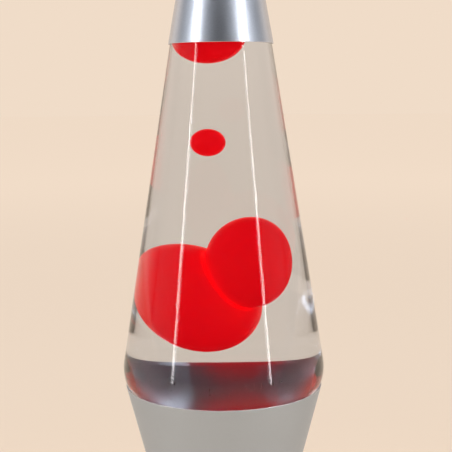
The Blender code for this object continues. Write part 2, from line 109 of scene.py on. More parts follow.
class LampSizes(bpy.types.PropertyGroup):
    sheet: length_property("Sheet", "Thickness of the spun metal", 0.75)
    rim_sheet: length_property("Rim sheet", "Thickness of the spun metal at its rims", 0.45)
    base_taper: number_property("Base taper", "Radius lost per height, down from the base's rim", 0.26)
    nut_overlap: length_property("Nut overlap", "How far the ring nut reaches past the cones' hole", 3.6)
    vent_ring: length_property("Vent ring", "Radius of the ring of vents at the waist", 18.2)
    vent_radius: length_property("Vent radius", "Radius of each vent at the waist", 1.8)
    screw_ring: length_property("Screw ring", "Radius of the ring of screws in the bottom plate", 39.5)
    screw_hole: length_property("Screw hole", "Radius of the holes for these screws", 1.7)
    cap_taper: number_property("Cap taper", "Radius lost per height, up from the cap's rim", 0.1836)
    cap_round: length_property("Cap rounding", "Radius of the cap's top edge", 4)
    glass: length_property("Glass", "Thickness of the bottle's wall", 2)
    film: length_property("Liquid's gap", "How far the liquid's skin lies inside the glass", 0.1)
    bottle_taper: number_property("Bottle taper", "Radius lost per height, up the bottle's cone", 0.1616)
    belly_above_rim: length_property("Belly height", "The widest level, above the base's rim", 7.9)
    belly_round: length_property("Belly rounding", "Radius of the curve at the widest level", 19)
    seat_angle: angle_property("Seat angle", "Of the bottle's heel, from upright", radians(32))
    heel_round: length_property("Heel rounding", "Radius at the bottle's foot", 8)
    punt: length_property("Punt", "Rise of the bottle's floor at its middle", 1.5)
    shoulder_above_cap: length_property("Shoulder height", "Start of the shoulder, above the cap's rim", 1.9)
    shoulder_rise: length_property("Shoulder rise", "Height of the shoulder", 16)
    neck_radius: length_property("Neck radius", "Outside radius of the bottle's neck", 12.6)
    headspace: length_property("Headspace", "From the bottle's lip down to the liquid", 8)
    flutes: IntProperty(name="Flutes", description="Crimps round the closure's skirt", default=21)
    coil_turns: IntProperty(name="Coil turns", description="Turns of the wire ring on the bottle's floor",
                            default=58)
    thread_pitch: length_property("Thread pitch", "Rise per turn of the bulb's thread", 3.4)
    thread_depth: length_property("Thread depth", "Depth of the rolled thread", 0.6)


class LampWax(bpy.types.PropertyGroup):
    pool_at: point_property("Pool's middle", "From the centre line, at the bottle's widest level",
                            (-9.8, -2, 31.1))
    pool_half: point_property("Pool's size", "Half its width, depth and height", (20.6, 23, 25))
    pool_tilt: angle_property("Pool's tilt", "About the line of sight", -0.7)
    ball_at: point_property("Ball's middle", "From the centre line, at the bottle's widest level",
                            (9.9, -13.8, 48.3))
    ball_half: point_property("Ball's size", "Half its width, depth and height", (16.3, 15.8, 19.3))
    ball_travel: length_property("Ball's travel", "Height that its hollow in the pool leaves open", 16)
    ball_gap: length_property("Ball's gap", "Between the ball and its hollow in the pool", 0.3)
    bead_at: point_property("Bead's middle", "From the centre line, at the bottle's widest level",
                            (-4.7, -5, 98.5))
    bead_half: point_property("Bead's size", "Half its width, depth and height", (6, 6, 5.8))
    crown_at: point_property("Upper blob's middle", "From the centre line, at the bottle's widest level",
                             (-4.3, -1, 143.3))
    crown_half: point_property("Upper blob's size", "Half its width, depth and height", (12.2, 12, 11.5))
    wall_gap: length_property("Wall's gap", "Between the wax and the glass", 0.7)


class LampColours(bpy.types.PropertyGroup):
    wax: colour_property("Wax", "The molten wax", (0.83, 0.004, 0.012))
    liquid: colour_property("Liquid", "Tint of the liquid", (0.747, 0.78, 0.846))
    cap: colour_property("Cap", "Satin metal of the cap", (0.53, 0.57, 0.65))
    base: colour_property("Base", "Matte metal of the base", (0.47, 0.53, 0.59))
    steel: colour_property("Steel", "Plated steel", (0.62, 0.62, 0.61))
    brass: colour_property("Brass", "Contacts and screw shells", (0.72, 0.53, 0.25))
    phenolic: colour_property("Phenolic", "The lampholder's mouldings", (0.022, 0.02, 0.019))
    plastic: colour_property("Plastic", "The bottom plate", (0.03, 0.03, 0.031))
    rubber: colour_property("Rubber", "Feet and grommet", (0.024, 0.024, 0.023))
    tungsten: colour_property("Tungsten", "The bulb's wires", (0.32, 0.32, 0.34))
    seal: colour_property("Seal", "The closure's liner", (0.74, 0.74, 0.7))
    room: colour_property("Room", "Floor and backdrop", (0.871, 0.716, 0.578))


class LampStudio(bpy.types.PropertyGroup):
    camera_distance: length_property("Camera distance", "From the lamp's centre line", 457.5)
    camera_height: length_property("Camera height", "Above the surface the lamp stands on", 277.1)
    camera_pitch: angle_property("Camera pitch", "Downwards from level", radians(7.33))
    camera_yaw: angle_property("Camera yaw", "To the right of the lamp's centre line", radians(0.19))
    camera_roll: angle_property("Camera roll", "Clockwise", radians(0.5))
    lens: number_property("Lens", "Focal length in millimetres", 83.63)
    strip_light: number_property("Strip lights", "Radiance of the two narrow lights", 30)
    side_light: number_property("Side lights", "Radiance of the broad lights next to the strips", 0.5)
    high_light: number_property("High side lights", "Radiance of the broad lights above these", 2.4)
    rear_light: number_property("Rear side lights", "Radiance of the broad lights further back", 0.3)
    top_light: number_property("Top light", "Radiance of the overhead light", 1.5)
    front_shade: number_property("Front shade", "Brightness of the room on the camera's side", 0.05)
    side_shade: number_property("Side shade", "Brightness of the room to both sides, above head height", 0.08)
    light_bounces: IntProperty(name="Light bounces", description="How often light may pass a surface: it "
                               "crosses many skins of glass and liquid to reach the inside of the base",
                               default=28)


# ---------------------------------------------------------------- surfaces

def surface(name, points, finish, wrap_rows=False, crease=35.0, **marks):
    """An object on a grid of points (rows, columns, 3). Each cell is a face, each row is joined to itself,
    and the last row to the first where wrap_rows says so. Points that fall together, such as those of a pole,
    become one. It is shaded smooth up to the crease angle, in degrees. marks are values for each point, which
    the finish reads as attributes: wear is 1 on an edge that rubs bright, and bare is 1 where the metal is
    unpainted."""
    rows, columns = points.shape[:2]
    row, column = np.meshgrid(np.arange(rows if wrap_rows else rows - 1), np.arange(columns), indexing="ij")
    next_row, next_column = (row + 1) % rows, (column + 1) % columns
    corners = [row * columns + column, row * columns + next_column,
               next_row * columns + next_column, next_row * columns + column]
    faces = np.stack(corners, -1).reshape(-1, 4)
    mesh = bpy.data.meshes.new(name)
    mesh.from_pydata(points.reshape(-1, 3).tolist(), [], faces.tolist())
    for label in ("wear", "bare"):
        values = np.asarray(marks.get(label, np.zeros(rows * columns)), dtype=np.float32)
        mesh.attributes.new(label, "FLOAT", "POINT").data.foreach_set("value", values.ravel())
    shape = bmesh.new()
    shape.from_mesh(mesh)
    bmesh.ops.remove_doubles(shape, verts=shape.verts, dist=0.002 * MM)
    bmesh.ops.recalc_face_normals(shape, faces=shape.faces)
    shape.to_mesh(mesh)
    shape.free()
    mesh.materials.append(finish)
    smoothed(mesh, crease)
    piece = bpy.data.objects.new(name, mesh)
    bpy.context.scene.collection.objects.link(piece)
    return piece


def smoothed(mesh, crease=35.0):
    mesh.shade_smooth()
    mesh.set_sharp_from_angle(angle=radians(crease))


def arc(centre_r, centre_z, radius, start, end, steps):
    """Points (r, z) on an arc, from angle start to angle end, in degrees from the +r direction."""
    angle = np.radians(np.linspace(start, end, steps + 1))
    return np.stack((centre_r + radius * np.cos(angle), centre_z + radius * np.sin(angle)), -1)


def rounded(corners, steps=5):
    """A section whose corners (r, z, radius) become arcs tangent to both their sides. A radius of 0
    leaves the corner as it is."""
    points = []
    for i, (r, z, radius) in enumerate(corners):
        here = np.array((r, z))
        to_last = np.array(corners[i - 1][:2]) - here
        to_next = np.array(corners[(i + 1) % len(corners)][:2]) - here
        last_length, next_length = np.linalg.norm(to_last), np.linalg.norm(to_next)
        if radius == 0:
            points.append(here[None])
            continue
        to_last, to_next = to_last / last_length, to_next / next_length
        half = acos(np.clip(to_last @ to_next, -1, 1)) / 2
        reach = min(radius / tan(half), 0.49 * min(last_length, next_length))
        middle = (to_last + to_next) / np.linalg.norm(to_last + to_next)
        hub = here + middle * reach / cos(half)
        first, final = here + to_last * reach - hub, here + to_next * reach - hub
        sweep = pi - 2 * half
        share = np.linspace(0, 1, steps + 1)[:, None]
        turn = np.sin((1 - share) * sweep) * first + np.sin(share * sweep) * final
        points.append(hub + turn / sin(sweep))
    return np.concatenate(points)


def dense(outline, step, closed=True):
    """The outline with points added along its long sides, no further apart than step."""
    ends = np.roll(outline, -1, 0) if closed else outline[1:]
    pieces = []
    for start, end in zip(outline, ends):
        count = max(1, int(np.ceil(np.linalg.norm(end - start) / step)))
        pieces.append(start + (end - start) * np.arange(count)[:, None] / count)
    if not closed:
        pieces.append(outline[-1:])
    return np.concatenate(pieces)


def bend_of(outline):
    """How sharply the outline turns at each point, from 0 on a straight run to 1 on a tight outer edge."""
    ahead = np.roll(outline, -1, 0) - outline
    behind = outline - np.roll(outline, 1, 0)
    cross = behind[:, 0] * ahead[:, 1] - behind[:, 1] * ahead[:, 0]
    turn = np.abs(np.arctan2(cross, (behind * ahead).sum(1)))
    span = (np.linalg.norm(ahead, axis=1) + np.linalg.norm(behind, axis=1)) / 2
    return np.clip(turn / np.maximum(span, 1e-6) * 0.4 * MM, 0, 1)


def turned(name, outline, finish, steps=FINE, shape=None, place=None, step=None, bare=None):
    """A section (r, z) turned round the Z axis. One that starts and ends at r = 0 is closed there by the
    axis, and any other is joined end to end. shape(r, z, turn) gives a new r and z, for ribs, flutes,
    threads and recesses. place moves the piece from the axis to where it belongs. bare(r, z) says where the
    metal is unpainted."""
    outline = np.asarray(outline, dtype=float)
    on_axis = outline[0, 0] < 1e-9
    if step:
        outline = dense(outline, step, closed=not on_axis)
    wear = np.repeat(bend_of(outline)[:, None], steps, 1)
    unpainted = bare(outline[:, 0], outline[:, 1]) if bare else np.zeros(len(outline))
    angle = np.linspace(0, TAU, steps, endpoint=False)
    r, turn = np.meshgrid(outline[:, 0], angle, indexing="ij")
    z = np.repeat(outline[:, 1][:, None], steps, 1)
    if shape:
        r, z = shape(r, z, turn)
    points = np.stack((r * np.cos(turn), r * np.sin(turn), z), -1)
    if place is not None:
        points = moved(points, place)
    return surface(name, points, finish, wrap_rows=not on_axis, wear=wear,
                   bare=np.repeat(unpainted[:, None], steps, 1))


def moved(points, place):
    """The points carried by a matrix."""
    matrix = np.array(place)
    return points @ matrix[:3, :3].T + matrix[:3, 3]


def tube(name, path, radius, finish, side, sides=8, closed=False):
    """A round wire along a path. Each ring of points lies across the path, and side, a direction for each
    point or for all, says where the ring starts. An open wire ends in rounded tips."""
    if not closed:
        ends = np.array([0.0, 0.5, 0.87])
        radii = np.concatenate((ends, np.ones(len(path)), ends[::-1])) * radius
        first = (path[0] - path[1]) / np.linalg.norm(path[0] - path[1])
        final = (path[-1] - path[-2]) / np.linalg.norm(path[-1] - path[-2])
        out = np.array([1.0, 0.87, 0.5])[:, None] * radius
        path = np.concatenate((path[0] + first * out, path, path[-1] + final * out[::-1]))
        along = np.gradient(path, axis=0)
    else:
        radii = np.full(len(path), radius)
        along = np.roll(path, -1, 0) - np.roll(path, 1, 0)
    along /= np.linalg.norm(along, axis=1)[:, None]
    side = np.broadcast_to(np.asarray(side, dtype=float), (len(path) if np.ndim(side) == 1 else len(side), 3))
    if len(side) != len(path):
        side = np.concatenate((np.repeat(side[:1], 3, 0), side, np.repeat(side[-1:], 3, 0)))
    across = side - (side * along).sum(1)[:, None] * along
    across /= np.linalg.norm(across, axis=1)[:, None]
    other = np.cross(along, across)
    angle = np.linspace(0, TAU, sides, endpoint=False)[None, :, None]
    ring = np.cos(angle) * across[:, None] + np.sin(angle) * other[:, None]
    points = path[:, None] + ring * radii[:, None, None]
    return surface(name, points, finish, wrap_rows=closed, crease=60)


def smooth_step(value, start, end):
    """0 before the start, 1 past the end, and an S-curve between them."""
    share = np.clip((value - start) / (end - start), 0, 1)
    return share * share * (3 - 2 * share)


def ribs(count, depth, lowest, highest, inside=0.0):
    """A shape for turned(): count ribs round a wall between two heights, where r is over inside."""
    def shape(r, z, turn):
        fade = smooth_step(z, lowest, lowest + MM) * (1 - smooth_step(z, highest - MM, highest))
        wave = 0.5 - 0.5 * np.cos(count * turn)
        return r - depth * wave ** 2 * fade * (r > inside), z
    return shape


def thread(pitch, depth, lowest, highest):
    """A shape for turned(): a right-hand rolled thread, a wave that climbs one pitch a turn."""
    def shape(r, z, turn):
        fade = smooth_step(z, lowest, lowest + pitch / 2) * (1 - smooth_step(z, highest - pitch / 2, highest))
        wave = 0.5 - 0.5 * np.cos(TAU * (z - lowest) / pitch - turn)
        return r - depth * wave * fade, z
    return shape


def slot_across(depth, half_width, length, face_z, cross=False):
    """A shape for turned(): a driver's slot, or two crossed ones, sunk into a face that looks down."""
    soft = 0.12 * MM

    def slot(along, across):
        wide = 1 - smooth_step(across, half_width - soft, half_width + soft)
        return wide * (1 - smooth_step(along, length - soft, length))

    def shape(r, z, turn):
        x, y = np.abs(r * np.cos(turn)), np.abs(r * np.sin(turn))
        sunk = np.maximum(slot(x, y), slot(y, x)) if cross else slot(x, y)
        return r, z + sunk * depth * (z < face_z)
    return shape


def pegs(places, radius, lowest, highest):
    """One mesh of upright round pegs at these x, y places, used as a cutter."""
    steps = 32
    angle = np.linspace(0, TAU, steps, endpoint=False)
    ring = np.stack((radius * np.cos(angle), radius * np.sin(angle)), -1)
    discs = np.asarray(places)[:, None, :] + ring
    shape = bmesh.new()
    for disc in discs:
        ends = [[shape.verts.new((*point, z)) for point in disc] for z in (lowest, highest)]
        shape.faces.new(ends[0][::-1])
        shape.faces.new(ends[1])
        for i in range(steps):
            j = (i + 1) % steps
            shape.faces.new((ends[0][i], ends[0][j], ends[1][j], ends[1][i]))
    mesh = bpy.data.meshes.new("pegs")
    shape.to_mesh(mesh)
    shape.free()
    cutter = bpy.data.objects.new("pegs", mesh)
    bpy.context.scene.collection.objects.link(cutter)
    return cutter


def drilled(piece, cutter):
    """Takes the cutter's shape out of the piece, and removes the cutter."""
    step = piece.modifiers.new("holes", "BOOLEAN")
    step.object = cutter
    step.solver = "EXACT"
    bpy.context.view_layer.update()
    seen = piece.evaluated_get(bpy.context.evaluated_depsgraph_get())
    mesh = bpy.data.meshes.new_from_object(seen)
    piece.modifiers.clear()
    old, piece.data = piece.data, mesh
    bpy.data.meshes.remove(old)
    bpy.data.objects.remove(cutter, do_unlink=True)
    smoothed(mesh)


def round_the_axis(count, radius, first=0.0):
    """The x, y places of count pieces on a circle, the first at angle first, in degrees."""
    angle = radians(first) + TAU * np.arange(count) / count
    return np.stack((radius * np.cos(angle), radius * np.sin(angle)), -1)


def stand_for(piece, node, body):
    """The piece takes the CAD node's place, which is hidden, and moves with its body."""
    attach(piece, body)
    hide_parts(node)


# ---------------------------------------------------------------- effects shared by the finishes

def new_group(name, inputs, outputs):
    """An empty shader node group. inputs are name: default, and outputs name: socket type."""
    tree = bpy.data.node_groups.new(name, "ShaderNodeTree")
    for label, value in inputs.items():
        tree.interface.new_socket(label, in_out="INPUT", socket_type="NodeSocketFloat").default_value = value
    for label, kind in outputs.items():
        tree.interface.new_socket(label, in_out="OUTPUT", socket_type=kind)
    return tree, tree.nodes.new("NodeGroupInput"), tree.nodes.new("NodeGroupOutput")


def put(tree, kind, **settings):
    """A new node. A setting is one of its own properties, or the default of the input of that name."""
    node = tree.nodes.new(kind)
    for label, value in settings.items():
        if hasattr(node, label):
            setattr(node, label, value)
        else:
            node.inputs[label.replace("_", " ")].default_value = value
    return node


def maths(tree, operation, first, second=None):
    node = tree.nodes.new("ShaderNodeMath")
    node.operation = operation
    for socket, value in zip(node.inputs, (first, second)):
        if isinstance(value, (int, float)):
            socket.default_value = value
        elif value is not None:
            tree.links.new(value, socket)
    return node.outputs[0]


def ramp(tree, value, start, end):
    """0 at the start and 1 at the end, with an S-curve between them. The end may be the lower of the two."""
    node = put(tree, "ShaderNodeMapRange", interpolation_type="SMOOTHSTEP", From_Min=start, From_Max=end)
    tree.links.new(value, node.inputs[0])
    return node.outputs[0]


def mixed(tree, share, first, second):
    """The first colour where share is 0, the second where it is 1. A colour is a socket or three values."""
    node = put(tree, "ShaderNodeMix", data_type="RGBA")
    tree.links.new(share, node.inputs[0])
    for socket, value in ((node.inputs[6], first), (node.inputs[7], second)):
        if isinstance(value, tuple):
            socket.default_value = (*value, 1)
        else:
            tree.links.new(value, socket)
    return node.outputs[2]


def noise_on(tree, given, **settings):
    """Noise in the piece's own coordinates, at the group's Scale."""
    where = put(tree, "ShaderNodeTexCoord")
    noise = put(tree, "ShaderNodeTexNoise", **settings)
    tree.links.new(where.outputs["Object"], noise.inputs["Vector"])
    tree.links.new(given.outputs["Scale"], noise.inputs["Scale"])
    return noise.outputs[0]


def round_a_half(tree, value, given):
    """The value's swing about a half, times the group's Amount."""
    swing = maths(tree, "MULTIPLY", maths(tree, "SUBTRACT", value, 0.5), given.outputs["Amount"])
    return maths(tree, "ADD", swing, 0.5)


def make_grain():
    """Fine grain: noise in the piece's own coordinates, given as a value round a half."""
    tree, given, out = new_group("fine grain", {"Scale": 900.0, "Amount": 1.0}, {"Value": "NodeSocketFloat"})
    noise = noise_on(tree, given, Detail=3.0, Roughness=0.6)
    tree.links.new(round_a_half(tree, noise, given), out.inputs["Value"])


def make_flake():
    """Metal flake: a random value for each small cell, blended a little with the next ones."""
    tree, given, out = new_group("metal flake", {"Scale": 2200.0, "Amount": 1.0},
                                 {"Value": "NodeSocketFloat"})
    where = put(tree, "ShaderNodeTexCoord")
    cells = put(tree, "ShaderNodeTexVoronoi", feature="SMOOTH_F1", Smoothness=0.4)
    tree.links.new(where.outputs["Object"], cells.inputs["Vector"])
    tree.links.new(given.outputs["Scale"], cells.inputs["Scale"])
    split = put(tree, "ShaderNodeSeparateColor")
    tree.links.new(cells.outputs["Color"], split.inputs[0])
    tree.links.new(round_a_half(tree, split.outputs[0], given), out.inputs["Value"])


def make_spun_lines():
    """Spun lines: fine rings left by the forming roller, noise that changes along Z and with the distance
    from the centre line, and only slowly round it."""
    tree, given, out = new_group("spun lines", {"Scale": 1600.0}, {"Value": "NodeSocketFloat"})
    where = put(tree, "ShaderNodeTexCoord")
    split = put(tree, "ShaderNodeSeparateXYZ")
    tree.links.new(where.outputs["Object"], split.inputs[0])
    x, y, z = split.outputs
    squares = maths(tree, "ADD", maths(tree, "MULTIPLY", x, x), maths(tree, "MULTIPLY", y, y))
    join = put(tree, "ShaderNodeCombineXYZ")
    tree.links.new(maths(tree, "SQRT", squares), join.inputs[0])
    tree.links.new(maths(tree, "MULTIPLY", x, 0.02), join.inputs[1])
    tree.links.new(z, join.inputs[2])
    noise = put(tree, "ShaderNodeTexNoise", Detail=2.0, Roughness=0.7)
    tree.links.new(join.outputs[0], noise.inputs["Vector"])
    tree.links.new(given.outputs["Scale"], noise.inputs["Scale"])
    tree.links.new(noise.outputs[0], out.inputs["Value"])


def make_edge_wear():
    """Edge wear: a mask from the piece's wear attribute, broken up by noise."""
    tree, given, out = new_group("edge wear", {"Amount": 0.5, "Scale": 400.0}, {"Mask": "NodeSocketFloat"})
    worn = put(tree, "ShaderNodeAttribute", attribute_name="wear")
    patches = put(tree, "ShaderNodeMapRange", From_Min=0.38, From_Max=0.62)
    tree.links.new(noise_on(tree, given, Detail=4.0, Roughness=0.65), patches.inputs[0])
    broken = maths(tree, "MULTIPLY", worn.outputs["Fac"], patches.outputs[0])
    tree.links.new(maths(tree, "MULTIPLY", broken, given.outputs["Amount"]), out.inputs["Mask"])


def make_handling():
    """Handling: broad soft patches, as fingers and settled dust leave, as a mask from 0 to 1."""
    tree, given, out = new_group("handling", {"Scale": 45.0, "Amount": 1.0}, {"Mask": "NodeSocketFloat"})
    noise = noise_on(tree, given, Detail=3.0, Roughness=0.55, Distortion=0.4)
    patch = ramp(tree, noise, 0.42, 0.7)
    tree.links.new(maths(tree, "MULTIPLY", patch, given.outputs["Amount"]), out.inputs["Mask"])


# ---------------------------------------------------------------- finishes

class Finish:
    """One material being made: a Principled BSDF with plain values, and effects that vary them."""

    def __init__(self, name, colour, roughness, metallic=0.0, **values):
        self.material = bpy.data.materials.new(name)
        self.material.use_nodes = True
        self.tree = self.material.node_tree
        self.shader = self.tree.nodes["Principled BSDF"]
        self.colour = tuple(colour)
        self.roughness = roughness
        self.heights = []
        self.set(Base_Color=(*colour, 1), Roughness=roughness, Metallic=metallic, **values)

    def set(self, **values):
        for label, value in values.items():
            self.shader.inputs[label.replace("_", " ")].default_value = value

    def effect(self, group, output, **values):
        """A shared effect's output, with this material's own values."""
        node = self.tree.nodes.new("ShaderNodeGroup")
        node.node_tree = bpy.data.node_groups[group]
        for label, value in values.items():
            node.inputs[label].default_value = value
        return node.outputs[output]

    def spread(self, value, lowest, highest):
        """A value from 0 to 1 spread over a range."""
        node = put(self.tree, "ShaderNodeMapRange", To_Min=lowest, To_Max=highest)
        self.tree.links.new(value, node.inputs[0])
        return node.outputs[0]

    def tint(self, mask, colour):
        """Base Color goes to the given colour where the mask is 1."""
        socket = self.shader.inputs["Base Color"]
        before = socket.links[0].from_socket if socket.is_linked else self.colour
        self.tree.links.new(mixed(self.tree, mask, before, colour), socket)

    def roughen(self, value, swing):
        """Roughness moves by up to swing as the value goes from 0 to 1, added to what is there."""
        socket = self.shader.inputs["Roughness"]
        change = self.spread(value, -swing, swing)
        base = socket.links[0].from_socket if socket.is_linked else self.roughness
        self.tree.links.new(maths(self.tree, "ADD", change, base), socket)

    def raise_by(self, value, height):
        """The value, from 0 to 1, raises the surface by up to height, in metres."""
        self.heights.append(maths(self.tree, "MULTIPLY", value, height))

    def done(self):
        """The material, with all its raised values added up to one bump."""
        if self.heights:
            total = self.heights[0]
            for height in self.heights[1:]:
                total = maths(self.tree, "ADD", total, height)
            bump = put(self.tree, "ShaderNodeBump", Strength=1.0, Distance=1.0)
            self.tree.links.new(total, bump.inputs["Height"])
            self.tree.links.new(bump.outputs["Normal"], self.shader.inputs["Normal"])
        return self.material


def darker(colour, share):
    return tuple(channel * share for channel in colour)


def cap_metal(colours):
    made = Finish("satin cap metal", colours.cap, 0.35, 1.0, Coat_Weight=0.3, Coat_Roughness=0.06)
    flake = made.effect("metal flake", "Value", Scale=3200.0)
    made.roughen(flake, 0.05)
    made.tint(made.spread(flake, 0.0, 0.3), darker(colours.cap, 0.7))
    made.roughen(made.effect("handling", "Mask", Scale=40.0), 0.02)
    made.tint(made.effect("edge wear", "Mask", Amount=0.6), (0.9, 0.91, 0.93))
    made.raise_by(flake, 0.004 * MM)
    return made.done()


def base_metal(colours):
    """Matte paint outside; inside, the metal is bare and shinier."""
    made = Finish("matte base metal", colours.base, 0.5, 1.0)
    bare = put(made.tree, "ShaderNodeAttribute", attribute_name="bare").outputs["Fac"]
    grain = made.effect("fine grain", "Value", Scale=2600.0)
    made.roughen(grain, 0.08)
    made.tint(made.spread(grain, 0.0, 0.35), darker(colours.base, 0.8))
    made.tint(made.effect("handling", "Mask", Scale=35.0, Amount=0.25), darker(colours.base, 0.88))
    made.tint(made.effect("edge wear", "Mask", Amount=0.7), (0.85, 0.86, 0.87))
    made.tint(bare, (0.82, 0.82, 0.84))
    made.roughen(made.spread(bare, 0.5, 0.0), 0.2)
    made.raise_by(made.effect("spun lines", "Value", Scale=1200.0), 0.0015 * MM)
    return made.done()


def clear_glass(name, waves):
    """Clear glass whose surface has the faint long waves of a moulded bottle or a blown bulb. What it mirrors
    is toned down, since liquid wets the bottle's inner side, which then mirrors little."""
    made = Finish(name, (0.985, 0.99, 0.985), 0.0, 0.0, Transmission_Weight=1.0, IOR=1.5,
                  Specular_Tint=(0.25, 0.25, 0.25, 1))
    made.raise_by(made.effect("fine grain", "Value", Scale=60.0), waves)
    return made.done()


def clear_liquid(colours):
    """Clear liquid. It mirrors nothing, since it wets the glass and has no skin of its own there."""
    made = Finish("clear liquid", colours.liquid, 0.0, 0.0, Transmission_Weight=1.0, IOR=1.37,
                  Specular_Tint=(0.0, 0.0, 0.0, 1))
    made.raise_by(made.effect("fine grain", "Value", Scale=30.0), 0.0003 * MM)
    return made.done()


def red_wax(colours):
    """Molten wax: light spreads a few millimetres in it, and a weak glow stands for the bulb's light."""
    made = Finish("red wax", colours.wax, 0.25, 0.0, IOR=1.08,
                  Subsurface_Weight=0.3, Subsurface_Scale=4 * MM, Subsurface_Radius=(1.0, 0.08, 0.04),
                  Emission_Color=(1.0, 0.002, 0.006, 1), Emission_Strength=0.54)
    cloud = made.effect("handling", "Mask", Scale=70.0)
    made.tint(made.spread(cloud, 0.0, 0.3), (0.9, 0.012, 0.008))
    grain = made.effect("fine grain", "Value", Scale=350.0)
    made.tint(made.spread(grain, 0.0, 0.25), darker(colours.wax, 0.8))
    made.roughen(grain, 0.05)
    made.raise_by(made.effect("fine grain", "Value", Scale=160.0), 0.01 * MM)
    return made.done()


def plated_steel(colours):
    made = Finish("plated steel", colours.steel, 0.28, 1.0)
    grain = made.effect("fine grain", "Value", Scale=1400.0)
    made.roughen(grain, 0.08)
    patches = made.effect("handling", "Mask", Scale=160.0)
    made.tint(made.spread(patches, 0.0, 0.35), darker(colours.steel, 0.75))
    made.tint(made.effect("edge wear", "Mask", Amount=0.6, Scale=900.0), (0.85, 0.85, 0.84))
    made.raise_by(grain, 0.003 * MM)
    return made.done()


def bright_brass(colours):
    made = Finish("brass", colours.brass, 0.3, 1.0)
    grain = made.effect("fine grain", "Value", Scale=1200.0)
    made.roughen(grain, 0.08)
    tarnish = made.effect("handling", "Mask", Scale=220.0)
    made.tint(made.spread(tarnish, 0.0, 0.5), (0.42, 0.27, 0.12))
    made.tint(made.effect("edge wear", "Mask", Amount=0.5, Scale=900.0), (0.88, 0.72, 0.42))
    made.raise_by(grain, 0.003 * MM)
    return made.done()


def moulded(name, colour, roughness, texture, dust):
    """A moulded plastic: a textured skin, edges rubbed pale, and a little dust."""
    made = Finish(name, colour, roughness)
    grain = made.effect("fine grain", "Value", Scale=1800.0)
    made.roughen(grain, 0.08)
    made.tint(made.effect("handling", "Mask", Scale=120.0, Amount=dust), (0.16, 0.15, 0.14))
    made.tint(made.effect("edge wear", "Mask", Amount=0.45, Scale=900.0), (0.12, 0.115, 0.11))
    made.raise_by(grain, texture)
    return made.done()


def soft_rubber(colours):
    made = Finish("rubber", colours.rubber, 0.75)
    grain = made.effect("fine grain", "Value", Scale=1500.0)
    made.roughen(grain, 0.1)
    made.tint(made.effect("handling", "Mask", Scale=260.0, Amount=0.35), (0.13, 0.12, 0.11))
    made.tint(made.effect("edge wear", "Mask", Amount=0.4, Scale=1200.0), (0.1, 0.1, 0.095))
    made.raise_by(grain, 0.02 * MM)
    return made.done()


def grey_wire(colours):
    made = Finish("tungsten", colours.tungsten, 0.4, 1.0)
    grain = made.effect("fine grain", "Value", Scale=2500.0)
    made.roughen(grain, 0.1)
    made.tint(made.spread(grain, 0.0, 0.5), darker(colours.tungsten, 0.6))
    return made.done()


def seal_compound(colours):
    made = Finish("sealing compound", colours.seal, 0.6)
    grain = made.effect("fine grain", "Value", Scale=900.0)
    made.roughen(grain, 0.08)
    made.tint(made.effect("handling", "Mask", Scale=200.0, Amount=0.3), (0.6, 0.57, 0.48))
    made.raise_by(grain, 0.02 * MM)
    return made.done()


def make_finishes(colours):
    for make in (make_grain, make_flake, make_spun_lines, make_edge_wear, make_handling):
        make()
    return {
        "cap": cap_metal(colours),
        "base": base_metal(colours),
        "glass": clear_glass("bottle glass", 0.0002 * MM),
        "bulb glass": clear_glass("bulb glass", 0.004 * MM),
        "liquid": clear_liquid(colours),
        "wax": red_wax(colours),
        "steel": plated_steel(colours),
        "brass": bright_brass(colours),
        "phenolic": moulded("phenolic", colours.phenolic, 0.3, 0.006 * MM, 0.2),
        "plastic": moulded("moulded plastic", colours.plastic, 0.55, 0.03 * MM, 0.25),
        "rubber": soft_rubber(colours),
        "tungsten": grey_wire(colours),
        "seal": seal_compound(colours),
    }


def finish_of(name):
    """The finished material of that kind. The first call makes them all."""
    if "kinds" not in FINISHES:
        FINISHES["kinds"] = make_finishes(bpy.context.scene.lamp_colours)
    return FINISHES["kinds"][name]


FINISHES = {}


# ---------------------------------------------------------------- sections of the bottle

def bottle_side(sizes, inset):
    """The bottle's side from the heel's foot up to the lip, moved in by inset: heel arc, straight seat,
    belly arc, straight cone, an S-shaped shoulder and a straight neck."""
    belly_r = high("bottle").x
    belly_z = high("base_upper_cone").z + sizes.belly_above_rim
    floor_z, lip_z = low("bottle").z, high("bottle").z
    seat = sizes.seat_angle
    belly = arc(belly_r - sizes.belly_round, belly_z, sizes.belly_round - inset, -degrees(seat),
                degrees(atan(sizes.bottle_taper)), 28)
    seat_r, seat_z = belly[0]
    round_r = sizes.heel_round - inset
    heel_z = floor_z + inset + round_r
    heel_top_z = heel_z - round_r * sin(seat)
    heel_top_r = seat_r - tan(seat) * (seat_z - heel_top_z)
    heel = arc(heel_top_r - round_r * cos(seat), heel_z, round_r, -90, -degrees(seat), 12)
    cone_r, cone_z = belly[-1]
    shoulder_z = low("cap_shell").z + sizes.shoulder_above_cap
    shoulder_r = cone_r - sizes.bottle_taper * (shoulder_z - cone_z)
    neck_r = sizes.neck_radius - inset
    share = np.linspace(0, 1, 24)
    ease = smooth_step(share, 0, 1)
    shoulder = np.stack((shoulder_r + (neck_r - shoulder_r) * ease,
                         shoulder_z + sizes.shoulder_rise * share), -1)
    return np.concatenate((heel, belly, shoulder, [(neck_r, lip_z)]))


def punt_side(sizes, z, edge_r):
    """The bottle's floor from the middle out to edge_r: a shallow dome, steepest at its edge."""
    steepness = 3.5
    r = np.linspace(0, edge_r, 20)
    return np.stack((r, z + sizes.punt * (1 - (r / edge_r) ** steepness)), -1)


# ---------------------------------------------------------------- the base

